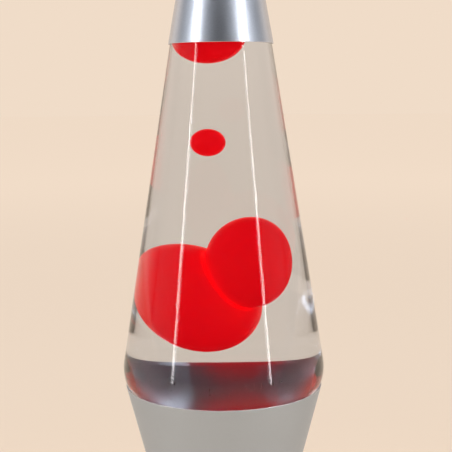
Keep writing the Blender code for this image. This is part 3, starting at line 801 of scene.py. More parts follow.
def build_upper_cone(sizes):
    """The spun cone that the bottle stands in: a straight wall, a bend at the waist and a flat floor with a
    hole for the holder and a ring of vents."""
    lowest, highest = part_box("base_upper_cone")
    rim_r, taper, sheet = highest.x + 0.05 * MM, sizes.base_taper, sizes.sheet
    hole_r = holder_hole(sizes)
    foot_r = rim_r - taper * (highest.z - lowest.z)
    lean = taper * MM
    section = rounded([
        (hole_r, lowest.z, 0.15 * MM), (foot_r - 0.1 * MM, lowest.z, 1.3 * MM),
        (rim_r - 0.12 * MM, highest.z, 0.2 * MM), (rim_r - sizes.rim_sheet - 0.1 * MM, highest.z, 0.2 * MM),
        (rim_r - sheet - 1.5 * lean, highest.z - 1.5 * MM, 2 * MM),
        (foot_r - sheet + lean * 0.7, lowest.z + sheet, 0.8 * MM), (hole_r, lowest.z + sheet, 0.15 * MM),
    ], 6)

    def inside(r, z):
        return 1.0 * ((r < rim_r - taper * (highest.z - z) - sheet / 2) & (z > lowest.z + sheet / 2))

    cone = turned("spun_upper_cone", section, finish_of("base"), step=1.5 * MM, bare=inside)
    drilled(cone, waist_vents(sizes, lowest.z))
    stand_for(cone, "base_upper_cone", "base")


def holder_hole(sizes):
    """The radius of the hole in both cones that the lampholder stands in."""
    return high("lampholder_ring_nut").x - sizes.nut_overlap


def waist_vents(sizes, level):
    """Cutters for the ring of vents through the sheet at this level."""
    return pegs(round_the_axis(6, sizes.vent_ring, 2), sizes.vent_radius, level - 2 * MM, level + 2 * MM)


def foot_slope(sizes):
    """How far the foot's cone widens per height, from the waist down."""
    lowest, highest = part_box("base_lower_cone")
    rim = high("base_upper_cone")
    waist_r = rim.x - sizes.base_taper * (rim.z - highest.z)
    return (highest.x - waist_r) / (highest.z - lowest.z)


def build_lower_cone(sizes):
    """The spun foot: a flat top at the waist with a hole and vents, a straight flared wall, a rolled edge,
    and a hole at the back for the cord."""
    lowest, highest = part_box("base_lower_cone")
    sheet, hole_r = sizes.sheet, holder_hole(sizes)
    top_r = highest.x - foot_slope(sizes) * (highest.z - lowest.z)
    section = rounded([
        (hole_r, highest.z, 0.15 * MM), (hole_r, highest.z - sheet, 0.15 * MM),
        (top_r - sheet, highest.z - sheet, 0.8 * MM), (highest.x - sheet - 0.1 * MM, lowest.z, 0.25 * MM),
        (highest.x, lowest.z, 0.3 * MM), (top_r, highest.z, 1.3 * MM),
    ], 6)
    cone = turned("spun_foot", section, finish_of("base"), step=1.5 * MM)
    drilled(cone, waist_vents(sizes, highest.z))
    cord_hole = pegs([(0, 0)], 5.2 * MM, -4 * MM, 4 * MM)
    cord_hole.matrix_world = grommet_place(sizes)
    drilled(cone, cord_hole)
    stand_for(cone, "base_lower_cone", "base")


def grommet_place(sizes):
    """From the axis to the grommet's place: at the back, its own axis square to the foot's slanted wall."""
    tilt = Matrix.Rotation(atan(foot_slope(sizes)) - pi / 2, 4, "X")
    return Matrix.Translation(centre("cord_grommet")) @ tilt


def build_grommet(sizes):
    """A rubber ring with a groove for the sheet, rounded lips and a slightly bellied bore."""
    bore, groove, lip, half = 3.9 * MM, 4.75 * MM, 6.6 * MM, 2.3 * MM
    section = rounded([
        (bore, -half, 0.5 * MM), (lip - 0.5 * MM, -half, 0.7 * MM), (lip, -0.7 * MM, 0.3 * MM),
        (groove, -0.6 * MM, 0.1 * MM), (groove, 0.6 * MM, 0.1 * MM), (lip, 0.7 * MM, 0.3 * MM),
        (lip - 0.5 * MM, half, 0.7 * MM), (bore, half, 0.5 * MM),
    ], 5)
    ring = turned("rubber_grommet", section, finish_of("rubber"), MEDIUM, place=grommet_place(sizes))
    stand_for(ring, "cord_grommet", "base")


def build_bottom(sizes):
    """The moulded plate with its rings of vents, the steel ring above it, its screws and the rubber pads."""
    lowest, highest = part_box("bottom_plate")
    plate = turned("moulded_bottom_plate", dense(rounded([
        (0, lowest.z, 0), (8 * MM, lowest.z, 0), (highest.x - 2.4 * MM, lowest.z, 0.3 * MM),
        (highest.x - 2 * MM, lowest.z + 0.4 * MM, 0.3 * MM), (highest.x, lowest.z + 0.4 * MM, 0.4 * MM),
        (highest.x, highest.z, 0.3 * MM), (0, highest.z, 0),
    ]), 2 * MM, closed=False), finish_of("plastic"), FINE)
    screws = round_the_axis(3, sizes.screw_ring, 32)
    vents = np.concatenate((round_the_axis(5, 9 * MM, 2), round_the_axis(10, 18 * MM, 2)))
    drilled(plate, pegs(vents, 2.6 * MM, lowest.z - MM, highest.z + MM))
    drilled(plate, pegs(screws, sizes.screw_hole, lowest.z - MM, highest.z + MM))
    stand_for(plate, "bottom_plate", "base")

    ring_low, ring_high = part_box("plate_ring")
    bore = 35 * MM
    ring = turned("steel_plate_ring", rounded([
        (bore, ring_low.z, 0.25 * MM), (ring_high.x, ring_low.z, 0.25 * MM),
        (ring_high.x, ring_high.z, 0.35 * MM), (bore, ring_high.z, 0.35 * MM),
    ]), finish_of("steel"), FINE)
    drilled(ring, pegs(screws, sizes.screw_hole, ring_low.z - MM, ring_high.z + MM))
    stand_for(ring, "plate_ring", "base")

    for i in range(1, 4):
        build_screw(f"plate_screw_{i}", "steel", "base", cross=True)
    pad_r = (high("foot_pad_1").x - low("foot_pad_1").x) / 2
    pad_top = high("foot_pad_1").z
    pad = dense(rounded([(0, 0, 0), (3.4 * MM, 0, 0.2 * MM), (3.6 * MM, 0.25 * MM, 0.1 * MM),
                         (3.9 * MM, 0.25 * MM, 0.1 * MM), (4.1 * MM, 0, 0.2 * MM), (pad_r, 0, 0.9 * MM),
                         (pad_r, pad_top, 0.3 * MM), (0, pad_top, 0)]), MM, closed=False)
    for i in range(1, 5):
        place = Matrix.Translation((*centre(f"foot_pad_{i}").xy, 0))
        piece = turned(f"rubber_pad_{i}", pad, finish_of("rubber"), 64, place=place)
        stand_for(piece, f"foot_pad_{i}", "base")


def build_screw(node, kind, body, cross):
    """A screw with a domed head that looks down, a cross or a slot sunk in it, and a rolled thread."""
    lowest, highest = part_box(node)
    head_r = (highest.x - lowest.x) / 2
    head = 1.2 * MM if cross else 1.8 * MM
    shank_r = 1.3 * MM if cross else 1.15 * MM
    length = highest.z - lowest.z
    dome = head * 0.3
    face = np.linspace(0, head_r * 0.8, 22)
    crown = np.stack((face, dome * (face / head_r) ** 2.4), -1)
    side = rounded([
        (face[-1], crown[-1, 1], 0), (head_r, head * 0.45, 0.45 * MM), (head_r, head, 0.12 * MM),
        (shank_r, head, 0.1 * MM), (shank_r, length - 0.8 * MM, 0.2 * MM),
        (0.5 * MM, length, 0.2 * MM), (0, length, 0),
    ], 5)[1:]
    side = dense(side, 0.1 * MM, closed=False)
    recess = slot_across(head * 0.55, 0.32 * MM if cross else 0.36 * MM, (0.62 if cross else 2) * head_r,
                         head * 0.9, cross)
    groove = thread(0.7 * MM, 0.28 * MM, head + 0.4 * MM, length + MM)

    def shape(r, z, turn):
        sunk_r, sunk_z = recess(r, z, turn)
        cut_r, _ = groove(r, z, turn)
        return np.where((z > head + 0.05 * MM) & (r > 0.6 * MM), cut_r, sunk_r), sunk_z

    place = Matrix.Translation((*centre(node).xy, lowest.z))
    piece = turned(f"{node}_finished", np.concatenate((crown, side)), finish_of(kind), 64, shape=shape,
                   place=place)
    stand_for(piece, node, body)


# ---------------------------------------------------------------- the lampholder

def build_holder_body(sizes):
    """The moulded holder: a cup with a collar, a chamfered mouth, a ribbed skirt and two terminal holes."""
    lowest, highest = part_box("lampholder_body")
    collar_r, body_r, bore = highest.x, 13 * MM, 9.9 * MM
    shoulder = low("base_upper_cone").z + sizes.sheet + 0.3 * MM
    floor = lowest.z + 3 * MM
    section = rounded([
        (1.9 * MM, lowest.z, 0.3 * MM), (body_r, lowest.z, 0.4 * MM), (body_r, shoulder, 0.1 * MM),
        (collar_r, shoulder, 0.2 * MM), (collar_r, shoulder + 2.2 * MM, 0.9 * MM),
        (body_r - 0.4 * MM, shoulder + 2.2 * MM, 0.3 * MM), (body_r - 0.4 * MM, highest.z, 0.8 * MM),
        (bore, highest.z, 0.6 * MM), (bore, floor, 0.5 * MM), (1.9 * MM, floor, 0.3 * MM),
    ], 5)
    collar_ribs = ribs(36, 0.35 * MM, shoulder - 0.5 * MM, shoulder + 2.4 * MM, collar_r - 1.2 * MM)
    body = turned("moulded_holder", dense(section, 0.8 * MM), finish_of("phenolic"), 288, shape=collar_ribs)
    terminals = pegs(round_the_axis(2, 6.2 * MM), 1.5 * MM, lowest.z - MM, floor + MM)
    drilled(body, terminals)
    stand_for(body, "lampholder_body", "base")


def build_ring_nut(sizes):
    """The ring that clamps the holder to both cones, with gripping ribs round it."""
    lowest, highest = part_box("lampholder_ring_nut")
    bore = 13.3 * MM
    section = rounded([
        (bore, lowest.z, 0.3 * MM), (highest.x, lowest.z, 0.6 * MM), (highest.x, highest.z, 0.6 * MM),
        (bore, highest.z, 0.3 * MM),
    ], 5)
    grip = ribs(30, 0.55 * MM, lowest.z - 0.5 * MM, highest.z + 0.5 * MM, 15.4 * MM)
    nut = turned("ribbed_ring_nut", dense(section, 0.5 * MM), finish_of("phenolic"), 300, shape=grip)
    stand_for(nut, "lampholder_ring_nut", "base")


def build_holder_cover(sizes):
    """The thin cover over the holder's terminals: a cup that narrows to the cord's hole."""
    lowest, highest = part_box("lampholder_cover")
    wall, outer_r = 1.4 * MM, highest.x
    section = rounded([
        (4 * MM, lowest.z, 0.5 * MM), (9 * MM, lowest.z, 1.6 * MM), (outer_r, lowest.z + 5 * MM, 1.6 * MM),
        (outer_r, highest.z, 0.25 * MM), (outer_r - wall, highest.z, 0.25 * MM),
        (outer_r - wall, lowest.z + 5.6 * MM, 1.2 * MM), (8.6 * MM, lowest.z + wall, 1.2 * MM),
        (4 * MM, lowest.z + wall, 0.5 * MM),
    ], 6)
    grip = ribs(24, 0.3 * MM, lowest.z + 5.5 * MM, highest.z - 0.5 * MM, outer_r - 0.4 * MM)
    cover = turned("terminal_cover", dense(section, 0.8 * MM), finish_of("phenolic"), 240, shape=grip)
    stand_for(cover, "lampholder_cover", "base")


def build_screw_shell(sizes):
    """The holder's thin brass shell, rolled to a right-hand thread, its edges left plain."""
    lowest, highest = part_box("lampholder_screw_shell")
    wall = 0.3 * MM
    inner = highest.x - wall
    section = rounded([
        (inner, lowest.z, 0.1 * MM), (inner + wall, lowest.z, 0.1 * MM), (inner + wall, highest.z, 0.1 * MM),
        (inner, highest.z, 0.1 * MM),
    ], 3)
    shell = turned("threaded_shell", dense(section, 0.25 * MM), finish_of("brass"), MEDIUM,
                   shape=thread(sizes.thread_pitch, 0.35 * MM, lowest.z, highest.z))
    stand_for(shell, "lampholder_screw_shell", "base")


def build_centre_contact(sizes):
    """A sprung strip: a flat foot, a rising leg and a curled top that the bulb's tip presses on. The strip's
    path is offset to both sides by half its thickness, and carried across its width."""
    lowest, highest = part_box("lampholder_centre_contact")
    thick, rise = 0.4 * MM, highest.z - lowest.z - 0.4 * MM
    share = np.linspace(0, 1, 60)
    x = lowest.x + (highest.x - lowest.x) * share
    bump = smooth_step(share, 0.25, 0.45) * (1 - smooth_step(share, 0.6, 0.95))
    path = np.stack((x, lowest.z + thick / 2 + rise * bump), -1)
    along = np.gradient(path, axis=0)
    along /= np.linalg.norm(along, axis=1)[:, None]
    normal = np.stack((-along[:, 1], along[:, 0]), -1)
    loop = np.concatenate((path + normal * thick / 2, (path - normal * thick / 2)[::-1]))
    width = np.array([lowest.y, lowest.y, lowest.y + 0.1 * MM, highest.y - 0.1 * MM, highest.y, highest.y])
    shrink = np.array([0.0, 0.9, 1.0, 1.0, 0.9, 0.0])
    middle = np.concatenate((path, path[::-1]))
    rows = middle + (loop - middle) * shrink[:, None, None]
    points = np.stack((rows[..., 0], np.repeat(width[:, None], len(loop), 1), rows[..., 1]), -1)
    strip = surface("sprung_contact", points, finish_of("brass"), crease=40)
    stand_for(strip, "lampholder_centre_contact", "base")


# ---------------------------------------------------------------- the bulb

def build_envelope(sizes):
    """The bulb's thin glass: a sphere that runs into a straight neck, with a wall of even thickness."""
    lowest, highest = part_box("bulb_envelope")
    radius, neck_r, wall = highest.x, 7.2 * MM, 0.45 * MM
    middle_z = highest.z - radius
    blend_r = 6 * MM

    def side(inset):
        ball_r, straight_r, fillet = radius - inset, neck_r - inset, blend_r + inset
        hub_r = straight_r + fillet
        hub_z = middle_z - sqrt((ball_r + fillet) ** 2 - hub_r ** 2)
        meet = degrees(atan((middle_z - hub_z) / hub_r))
        fillet_arc = arc(hub_r, hub_z, fillet, 180, 180 - meet, 10)
        ball = arc(0, middle_z, ball_r, -meet, 90, 44)[1:]
        return np.concatenate(([(straight_r, lowest.z)], fillet_arc, ball))

    outer, inner = side(0), side(wall)
    outer[-1, 0] = inner[-1, 0] = 0
    envelope = turned("glass_envelope", np.concatenate((outer[::-1], inner)), finish_of("bulb glass"), MEDIUM)
    stand_for(envelope, "bulb_envelope", "bulb")


def build_screw_cap(sizes):
    """The bulb's threaded brass cap: a rolled shell with a right-hand thread and a plain collar above."""
    lowest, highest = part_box("bulb_screw_cap")
    wall, outer = 0.3 * MM, highest.x
    thread_top = lowest.z + 1.2 * MM + 3 * sizes.thread_pitch
    section = rounded([
        (6.0 * MM, lowest.z, 0.1 * MM), (6.6 * MM, lowest.z, 0.2 * MM),
        (outer, lowest.z + 1.2 * MM, 0.5 * MM), (outer, thread_top, 0.4 * MM),
        (outer - 0.4 * MM, thread_top + 0.6 * MM, 0.3 * MM), (outer - 0.4 * MM, highest.z, 0.1 * MM),
        (outer - 0.4 * MM - wall, highest.z, 0.1 * MM),
        (outer - 0.4 * MM - wall, thread_top + 0.6 * MM, 0.3 * MM), (outer - wall, thread_top, 0.4 * MM),
        (outer - wall, lowest.z + 1.4 * MM, 0.5 * MM), (6.0 * MM, lowest.z + wall, 0.2 * MM),
    ], 4)
    ridges = thread(sizes.thread_pitch, sizes.thread_depth, lowest.z + 0.8 * MM, thread_top + 0.4 * MM)
    cap = turned("threaded_bulb_cap", dense(section, 0.25 * MM), finish_of("brass"), MEDIUM, shape=ridges)
    stand_for(cap, "bulb_screw_cap", "bulb")


def build_bulb_end(sizes):
    """The black glass insulator under the screw cap, and the solder dome of the tip contact."""
    lowest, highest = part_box("bulb_insulator")
    insulator = turned("black_insulator", rounded([
        (2.45 * MM, lowest.z, 0.2 * MM), (4 * MM, lowest.z, 0.4 * MM), (highest.x, highest.z, 0.3 * MM),
        (2.45 * MM, highest.z, 0.1 * MM),
    ]), finish_of("phenolic"), SMALL)
    stand_for(insulator, "bulb_insulator", "bulb")
    lowest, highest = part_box("bulb_tip_contact")
    radius, rise = highest.x, highest.z - lowest.z
    angle = np.linspace(0, pi / 2, 16)
    dome = np.stack((radius * np.sin(angle), highest.z - rise * np.cos(angle) ** 0.8), -1)
    dome[0, 0] = 0
    tip = turned("solder_tip", np.concatenate((dome, [(0, highest.z)])), finish_of("steel"), SMALL,
                 shape=lambda r, z, turn: (r * (1 + 0.03 * np.sin(3 * turn)), z))
    stand_for(tip, "bulb_tip_contact", "bulb")


def build_stem(sizes):
    """The glass mount inside the bulb: a flared foot, a narrow stem and a pinch pressed flat at its top."""
    lowest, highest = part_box("bulb_stem")
    flare_r, stem_r, rise = highest.x, 2.1 * MM, highest.z - lowest.z
    share = np.linspace(0, 1, 40)
    flare = stem_r + (flare_r - stem_r) * (1 - smooth_step(share, 0, 0.32)) ** 1.6
    side = np.stack((flare, lowest.z + 0.4 * MM + (rise - 1.4 * MM) * share), -1)
    end = arc(stem_r - MM, highest.z - MM, MM, 0, 90, 6)
    section = np.concatenate(([(0, lowest.z + MM), (flare_r * 0.7, lowest.z)], side, end, [(0, highest.z)]))

    def pinch(r, z, turn):
        flat = 0.45 * smooth_step(z, highest.z - 7 * MM, highest.z - 4 * MM)
        return r * (1 + flat * np.cos(2 * turn) * 0.7), z

    stem = turned("glass_mount", section, finish_of("bulb glass"), SMALL, shape=pinch)
    stand_for(stem, "bulb_stem", "bulb")


def build_filament(sizes):
    """Two lead wires that spread from the stem, and between them a fine coil along a shallow arch: the
    coil's path is the arch plus a circle that turns round it."""
    lowest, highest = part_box("bulb_filament")
    span = (highest.x - lowest.x) / 2 - 0.3 * MM
    top, foot = highest.z - 2.9 * MM, lowest.z + 0.2 * MM
    coil_r, turns = 0.42 * MM, 46
    share = np.linspace(0, 1, turns * 10)
    arch = np.stack((-span + 2 * span * share, 0 * share, top + 2.3 * MM * np.sin(pi * share)), -1)
    along = np.gradient(arch, axis=0)
    along /= np.linalg.norm(along, axis=1)[:, None]
    up = np.cross(along, (0, -1, 0))
    turn = (TAU * turns * share)[:, None]
    fade = np.minimum(1, np.minimum(share, 1 - share) * 25)[:, None]
    around = np.cos(turn) * up + np.sin(turn) * np.array((0, 1, 0))
    coil = arch + around * coil_r * fade
    lead_share = np.linspace(0, 1, 30)[:, None]
    start = np.array((-2.4 * MM, 0, foot))
    left = start + lead_share ** np.array((2.2, 1, 1)) * (arch[0] - start)
    right = left[::-1] * (-1, 1, 1)
    path = np.concatenate((left[:-1], coil, right[1:]))
    wire = tube("coiled_filament", path, 0.12 * MM, finish_of("tungsten"), (0, 1, 0.02), sides=6)
    stand_for(wire, "bulb_filament", "bulb")


# ---------------------------------------------------------------- the bottle and what is in it

def build_bottle(sizes):
    """The sealed bottle: its outer side, a rolled lip, and the same side again moved in by the wall."""
    floor, lip = low("bottle").z, high("bottle").z
    neck_r, wall = sizes.neck_radius, sizes.glass
    outer, inner = bottle_side(sizes, 0), bottle_side(sizes, wall)
    mouth = rounded([
        (neck_r, lip - 3.2 * MM, 0.4 * MM), (neck_r + 0.7 * MM, lip - 2.6 * MM, 0.5 * MM),
        (neck_r + 0.7 * MM, lip, 0.8 * MM), (neck_r - wall, lip, 0.7 * MM),
        (neck_r - wall, lip - 3.2 * MM, 0),
    ], 6)
    section = np.concatenate((punt_side(sizes, floor, outer[0, 0])[:-1], outer[:-1], mouth, inner[:-1][::-1],
                              punt_side(sizes, floor + wall, inner[0, 0])[:-1][::-1]))
    bottle = turned("glass_bottle", dense(section, 3 * MM, closed=False), finish_of("glass"), 256)
    stand_for(bottle, "bottle", "bottle")


def build_liquid(sizes):
    """The liquid: the bottle's inner shape, its skin just inside the glass, with a level top that climbs the
    neck's wall a little."""
    inset = sizes.glass - sizes.film
    side = bottle_side(sizes, inset)
    level = high("bottle").z - sizes.headspace
    side = side[side[:, 1] < level - MM]
    neck_r = sizes.neck_radius - inset
    r = np.linspace(neck_r, 0, 24)
    top = np.stack((r, level + 0.7 * MM * (r / neck_r) ** 10), -1)
    floor = punt_side(sizes, low("bottle").z + inset, side[0, 0])[:-1]
    section = np.concatenate((floor, side, top))
    liquid = turned("clear_liquid", dense(section, 3 * MM, closed=False), finish_of("liquid"), 256)
    stand_for(liquid, "liquid", "bottle")


def blend_max(first, second, width):
    """The larger of two values, rounded over where they cross."""
    near = np.maximum(width - np.abs(first - second), 0) / width
    return np.maximum(first, second) + near * near * width / 4


def blob(node, middle, half, tilt=0.0, limit=None, wobble=0.0, rings=96):
    """A wax blob: a stretched, tilted sphere whose points are drawn in, along the line to its middle, to
    where a limit function reaches 0. limit(points) is in metres, negative inside. wobble adds slow bulges."""
    up, around = np.meshgrid(np.linspace(0, pi, rings + 1), np.linspace(0, TAU, 2 * rings, endpoint=False),
                             indexing="ij")
    out = np.stack((np.sin(up) * np.cos(around), np.sin(up) * np.sin(around), np.cos(up)), -1)
    bulges = np.sin(2 * around + 0.7) + 0.6 * np.sin(3 * around + 2.1 + 2 * up)
    swell = 1 + wobble * np.sin(up) ** 2 * bulges
    turn = np.array(Matrix.Rotation(tilt, 3, "Y"))
    reach = (out * half * swell[..., None]) @ turn.T
    share = np.ones(up.shape)
    if limit:
        soft, mean = 1.6 * MM, float(np.mean(half))
        inside, outside = np.zeros(up.shape), np.full(up.shape, 1.02)

        def field(at):
            return blend_max((at - 1) * mean, limit(middle + reach * at[..., None]), soft)

        steps = np.linspace(0, 1.02, 70)
        found = np.zeros(up.shape, dtype=bool)
        for before, after in zip(steps, steps[1:]):
            crossed = (field(np.full(up.shape, after)) > 0) & ~found
            inside[crossed], outside[crossed] = before, after
            found |= crossed
        for _ in range(12):
            share = (inside + outside) / 2
            beyond = field(share) > 0
            outside = np.where(beyond, share, outside)
            inside = np.where(beyond, inside, share)
    points = middle + reach * share[..., None]
    piece = surface(f"{node}_blob", points, finish_of("wax"), crease=80)
    stand_for(piece, node, node.split("_")[1])


def build_wax(sizes):
    """The four blobs of wax: the pool, flattened on the glass and hollowed where the ball nests in it, the
    ball, a small bead, and the one under the cap."""
    wax = bpy.context.scene.lamp_wax
    belly = high("base_upper_cone").z + sizes.belly_above_rim
    side = bottle_side(sizes, sizes.glass)

    def middle(place):
        return np.array(place) + (0, 0, belly)

    def wall(points):
        """How far past the wax's side of the glass the points are, in metres."""
        across = np.hypot(points[..., 0], points[..., 1])
        return across - np.interp(points[..., 2], side[:, 1], side[:, 0]) + wax.wall_gap

    ball_at, ball_half = middle(wax.ball_at), np.array(wax.ball_half)
    inward = -ball_at[:2] / np.linalg.norm(ball_at[:2]) * sizes.bottle_taper
    way = np.array((*inward, 1)) * wax.ball_travel
    ball_radius = 17 * MM           # about the mean of its halves

    def nest(points):
        """How far inside the ball's path the points are, in metres: a share of its size times its radius."""
        room = ball_half + wax.ball_gap
        from_ball, path = (points - ball_at) / room, way / room
        along = np.clip(from_ball @ path / (path @ path), 0, 1)
        off = np.linalg.norm(from_ball - along[..., None] * path, axis=-1)
        return (1 - off) * ball_radius

    def nest_and_wall(points):
        return blend_max(wall(points), nest(points), MM)

    blob("wax_pool", middle(wax.pool_at), np.array(wax.pool_half), wax.pool_tilt, nest_and_wall, rings=128)
    blob("wax_ball", ball_at, ball_half, limit=wall, wobble=0.002)
    blob("wax_bead", middle(wax.bead_at), np.array(wax.bead_half), wobble=0.004, rings=48)
    blob("wax_crown", middle(wax.crown_at), np.array(wax.crown_half), limit=wall)


def build_heat_coil(sizes):
    """A loose wire coil bent to a ring on the bottle's floor: a circle that turns round a larger circle, a
    whole number of times."""
    lowest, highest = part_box("heat_coil")
    coil_r = (highest.z - lowest.z) / 2 - 0.45 * MM
    ring_r, ring_z = highest.x - (highest.z - lowest.z) / 2, centre("heat_coil").z
    turns = sizes.coil_turns
    share = np.linspace(0, TAU, turns * 18, endpoint=False)
    wobble = 1 + 0.05 * np.sin(7 * share)
    out = np.cos(turns * share) * wobble
    r = ring_r + coil_r * out
    path = np.stack((r * np.cos(share), r * np.sin(share), ring_z + coil_r * np.sin(turns * share)), -1)
    side = np.stack((out * np.cos(share), out * np.sin(share), np.sin(turns * share)), -1)
    coil = tube("wire_coil", path, 0.35 * MM, finish_of("steel"), side, sides=8, closed=True)
    stand_for(coil, "heat_coil", "bottle")


def build_closure(sizes):
    """The crown closure, a thin domed disc whose skirt swells into crimps towards its edge, and its liner."""
    lowest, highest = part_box("crown_closure")
    skirt_r, top, wall = highest.x - 0.4 * MM, highest.z, 0.35 * MM
    outer = np.concatenate(([(0, top)], arc(11.3 * MM, top - 2.2 * MM, 2.2 * MM, 90, 20, 10),
                            [(skirt_r, lowest.z)]))
    inner = outer - (wall, 0)
    inner[:, 0] = np.maximum(inner[:, 0], 0)
    inner[:2, 1] -= wall
    inner[2:6, 1] -= wall * np.linspace(0.9, 0.3, 4)
    section = np.concatenate((outer, inner[::-1]))

    def crimps(r, z, turn):
        depth = 0.85 * MM * smooth_step(top - z, 1.8 * MM, top - lowest.z)
        return r + depth * (np.abs(np.sin(sizes.flutes * turn / 2)) - 0.7) * (r > 9 * MM), z

    crown = turned("pressed_crown", dense(section, 0.5 * MM, closed=False), finish_of("steel"),
                   sizes.flutes * 18, shape=crimps)
    stand_for(crown, "crown_closure", "bottle")
    lowest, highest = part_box("crown_liner")
    liner = turned("sealing_liner", rounded([
        (0, lowest.z, 0), (9.2 * MM, lowest.z, 0.1 * MM), (9.5 * MM, lowest.z + 0.1 * MM, 0.1 * MM),
        (highest.x, lowest.z, 0.15 * MM), (highest.x, highest.z, 0.15 * MM), (0, highest.z, 0),
    ]), finish_of("seal"), MEDIUM)
    stand_for(liner, "crown_liner", "bottle")


def build_cap(sizes):
    """The spun cap: a straight taper, a rounded edge and a barely crowned top. The rim's sheet is thinner."""
    lowest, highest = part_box("cap_shell")
    taper, sheet, rim_r = sizes.cap_taper, sizes.sheet, highest.x
    height = highest.z - lowest.z
    top_r = rim_r - taper * height

    def inner_r(up, wall):
        return rim_r - taper * up - wall

    section = rounded([
        (0, highest.z - sheet, 0), (top_r - sheet, highest.z - sheet - 0.6 * MM, sizes.cap_round - sheet),
        (inner_r(5 * MM, sheet), lowest.z + 5 * MM, 2 * MM),
        (inner_r(2 * MM, sizes.rim_sheet), lowest.z + 2 * MM, 2 * MM),
        (inner_r(0, sizes.rim_sheet), lowest.z, 0.12 * MM), (rim_r, lowest.z, 0.2 * MM),
        (top_r + 0.1 * MM, highest.z - 0.6 * MM, sizes.cap_round), (0, highest.z, 0),
    ], 10)
    cap = turned("spun_cap", dense(section, 1.2 * MM, closed=False), finish_of("cap"), FINE)
    stand_for(cap, "cap_shell", "cap")


# ---------------------------------------------------------------- the studio

def build_floor(colours):
    """A wide level disc. Most of its brightness is its own, so that it and the room beyond it read as one.
    Its colours are shares of the room's, blended with the distance from the lamp."""
    made = Finish("backdrop paper", colours.room, 0.9, Specular_IOR_Level=0.0, Emission_Strength=1.0)
    where = put(made.tree, "ShaderNodeTexCoord")
    away = put(made.tree, "ShaderNodeVectorMath", operation="LENGTH")
    made.tree.links.new(where.outputs["Object"], away.inputs[0])

    def by_distance(start, end, near, share):
        """near, a colour, out to the start distance, and this share of the room's colour beyond the end."""
        out = ramp(made.tree, away.outputs["Value"], start, end)
        return mixed(made.tree, out, near, darker(colours.room, share))

    paper = by_distance(0.15, 0.6, darker(colours.room, 0.55), 0.16)
    made.tree.links.new(paper, made.shader.inputs["Base Color"])
    glow = by_distance(0.15, 0.6, darker(colours.room, 0.43), 0.82)
    made.tree.links.new(by_distance(0.4, 3.0, glow, 0.95), made.shader.inputs["Emission Color"])
    r, turn = np.meshgrid(np.linspace(0, 12, 60), np.linspace(0, TAU, 96, endpoint=False), indexing="ij")
    points = np.stack((r * np.cos(turn), r * np.sin(turn), np.full(r.shape, -0.02 * MM)), -1)
    floor = surface("floor", points, made.done(), crease=60)
    if floor.data.polygons[0].normal.z < 0:
        floor.data.flip_normals()


def area_light(name, place, aim, width, height, radiance, colour):
    """A rectangular light of even radiance, set at place and turned to the aim point."""
    lamp = bpy.data.lights.new(name, "AREA")
    lamp.shape = "RECTANGLE"
    lamp.size, lamp.size_y = width, height
    lamp.energy = radiance * pi * width * height
    lamp.color = colour
    item = bpy.data.objects.new(name, lamp)
    item.location = place
    item.rotation_euler = (Vector(aim) - Vector(place)).to_track_quat("-Z", "Y").to_euler()
    item.visible_camera = False
    bpy.context.scene.collection.objects.link(item)


def build_lights(studio):
    """On each side a narrow bright strip, with a broad soft light next to it, one above that and one further
    back, and a soft light overhead. Angles are in degrees round the lamp, from the camera's side."""
    cool = (0.95, 0.97, 1.0)
    for side, strip_at in ((-1, 58), (1, 52)):
        for name, turn, away, lowest, highest, width, radiance, colour in (
                ("strip", 0, 1.0, 0.1, 1.46, 0.055, studio.strip_light, (1, 1, 1)),
                ("side", 19, 1.15, 0.15, 1.15, 0.78, studio.side_light, cool),
                ("high", -12, 1.15, 1.15, 2.2, 0.9, studio.high_light, cool),
                ("rear", 59, 1.15, 0.15, 2.2, 0.78, studio.rear_light, cool)):
            angle, middle = radians(strip_at + turn), (lowest + highest) / 2
            place = (side * away * sin(angle), -away * cos(angle), middle)
            area_light(f"{name}_{side}", place, (0, 0, middle), width, highest - lowest, radiance, colour)
    area_light("overhead", (0, 0.2, 2.4), (0, 0, 0.2), 2, 2, studio.top_light, (1, 0.99, 0.97))


def build_room(colours, studio):
    """The room beyond the floor, by direction: its own colour behind the lamp and, where nothing mirrors it,
    along the horizon to both sides, grey above that, and dark towards the camera."""
    world = bpy.data.worlds.new("room")
    world.use_nodes = True
    tree = world.node_tree
    where = put(tree, "ShaderNodeTexCoord")
    split = put(tree, "ShaderNodeSeparateXYZ")
    tree.links.new(where.outputs["Generated"], split.inputs[0])
    _, away, up = split.outputs
    behind = ramp(tree, away, 0.15, 0.65)
    beside = ramp(tree, maths(tree, "ABSOLUTE", away), 0.34, 0.22)
    seen_straight = ramp(tree, put(tree, "ShaderNodeLightPath").outputs["Glossy Depth"], 1, 0)
    near_horizon = ramp(tree, up, 0.2, 0.165)
    low = maths(tree, "MULTIPLY", maths(tree, "MULTIPLY", beside, seen_straight), near_horizon)
    shades = (studio.side_shade,) * 3
    sides = mixed(tree, maths(tree, "MAXIMUM", behind, low), shades, tuple(colours.room))
    whole = mixed(tree, ramp(tree, away, -0.85, -0.3), (studio.front_shade,) * 3, sides)
    tree.links.new(whole, tree.nodes["Background"].inputs["Color"])
    bpy.context.scene.world = world


def build_camera(studio):
    data = bpy.data.cameras.new("camera")
    data.lens = studio.lens
    data.clip_start, data.clip_end = 0.01, 50
    camera = bpy.data.objects.new("camera", data)
    pan = Matrix.Rotation(-studio.camera_yaw, 4, "Z")
    look = pan @ Matrix.Rotation(pi / 2 - studio.camera_pitch, 4, "X")
    look = look @ Matrix.Rotation(-studio.camera_roll, 4, "Z")
    camera.matrix_world = Matrix.Translation((0, -studio.camera_distance, studio.camera_height)) @ look
    bpy.context.scene.collection.objects.link(camera)
    bpy.context.scene.camera = camera


# ---------------------------------------------------------------- operators and panel

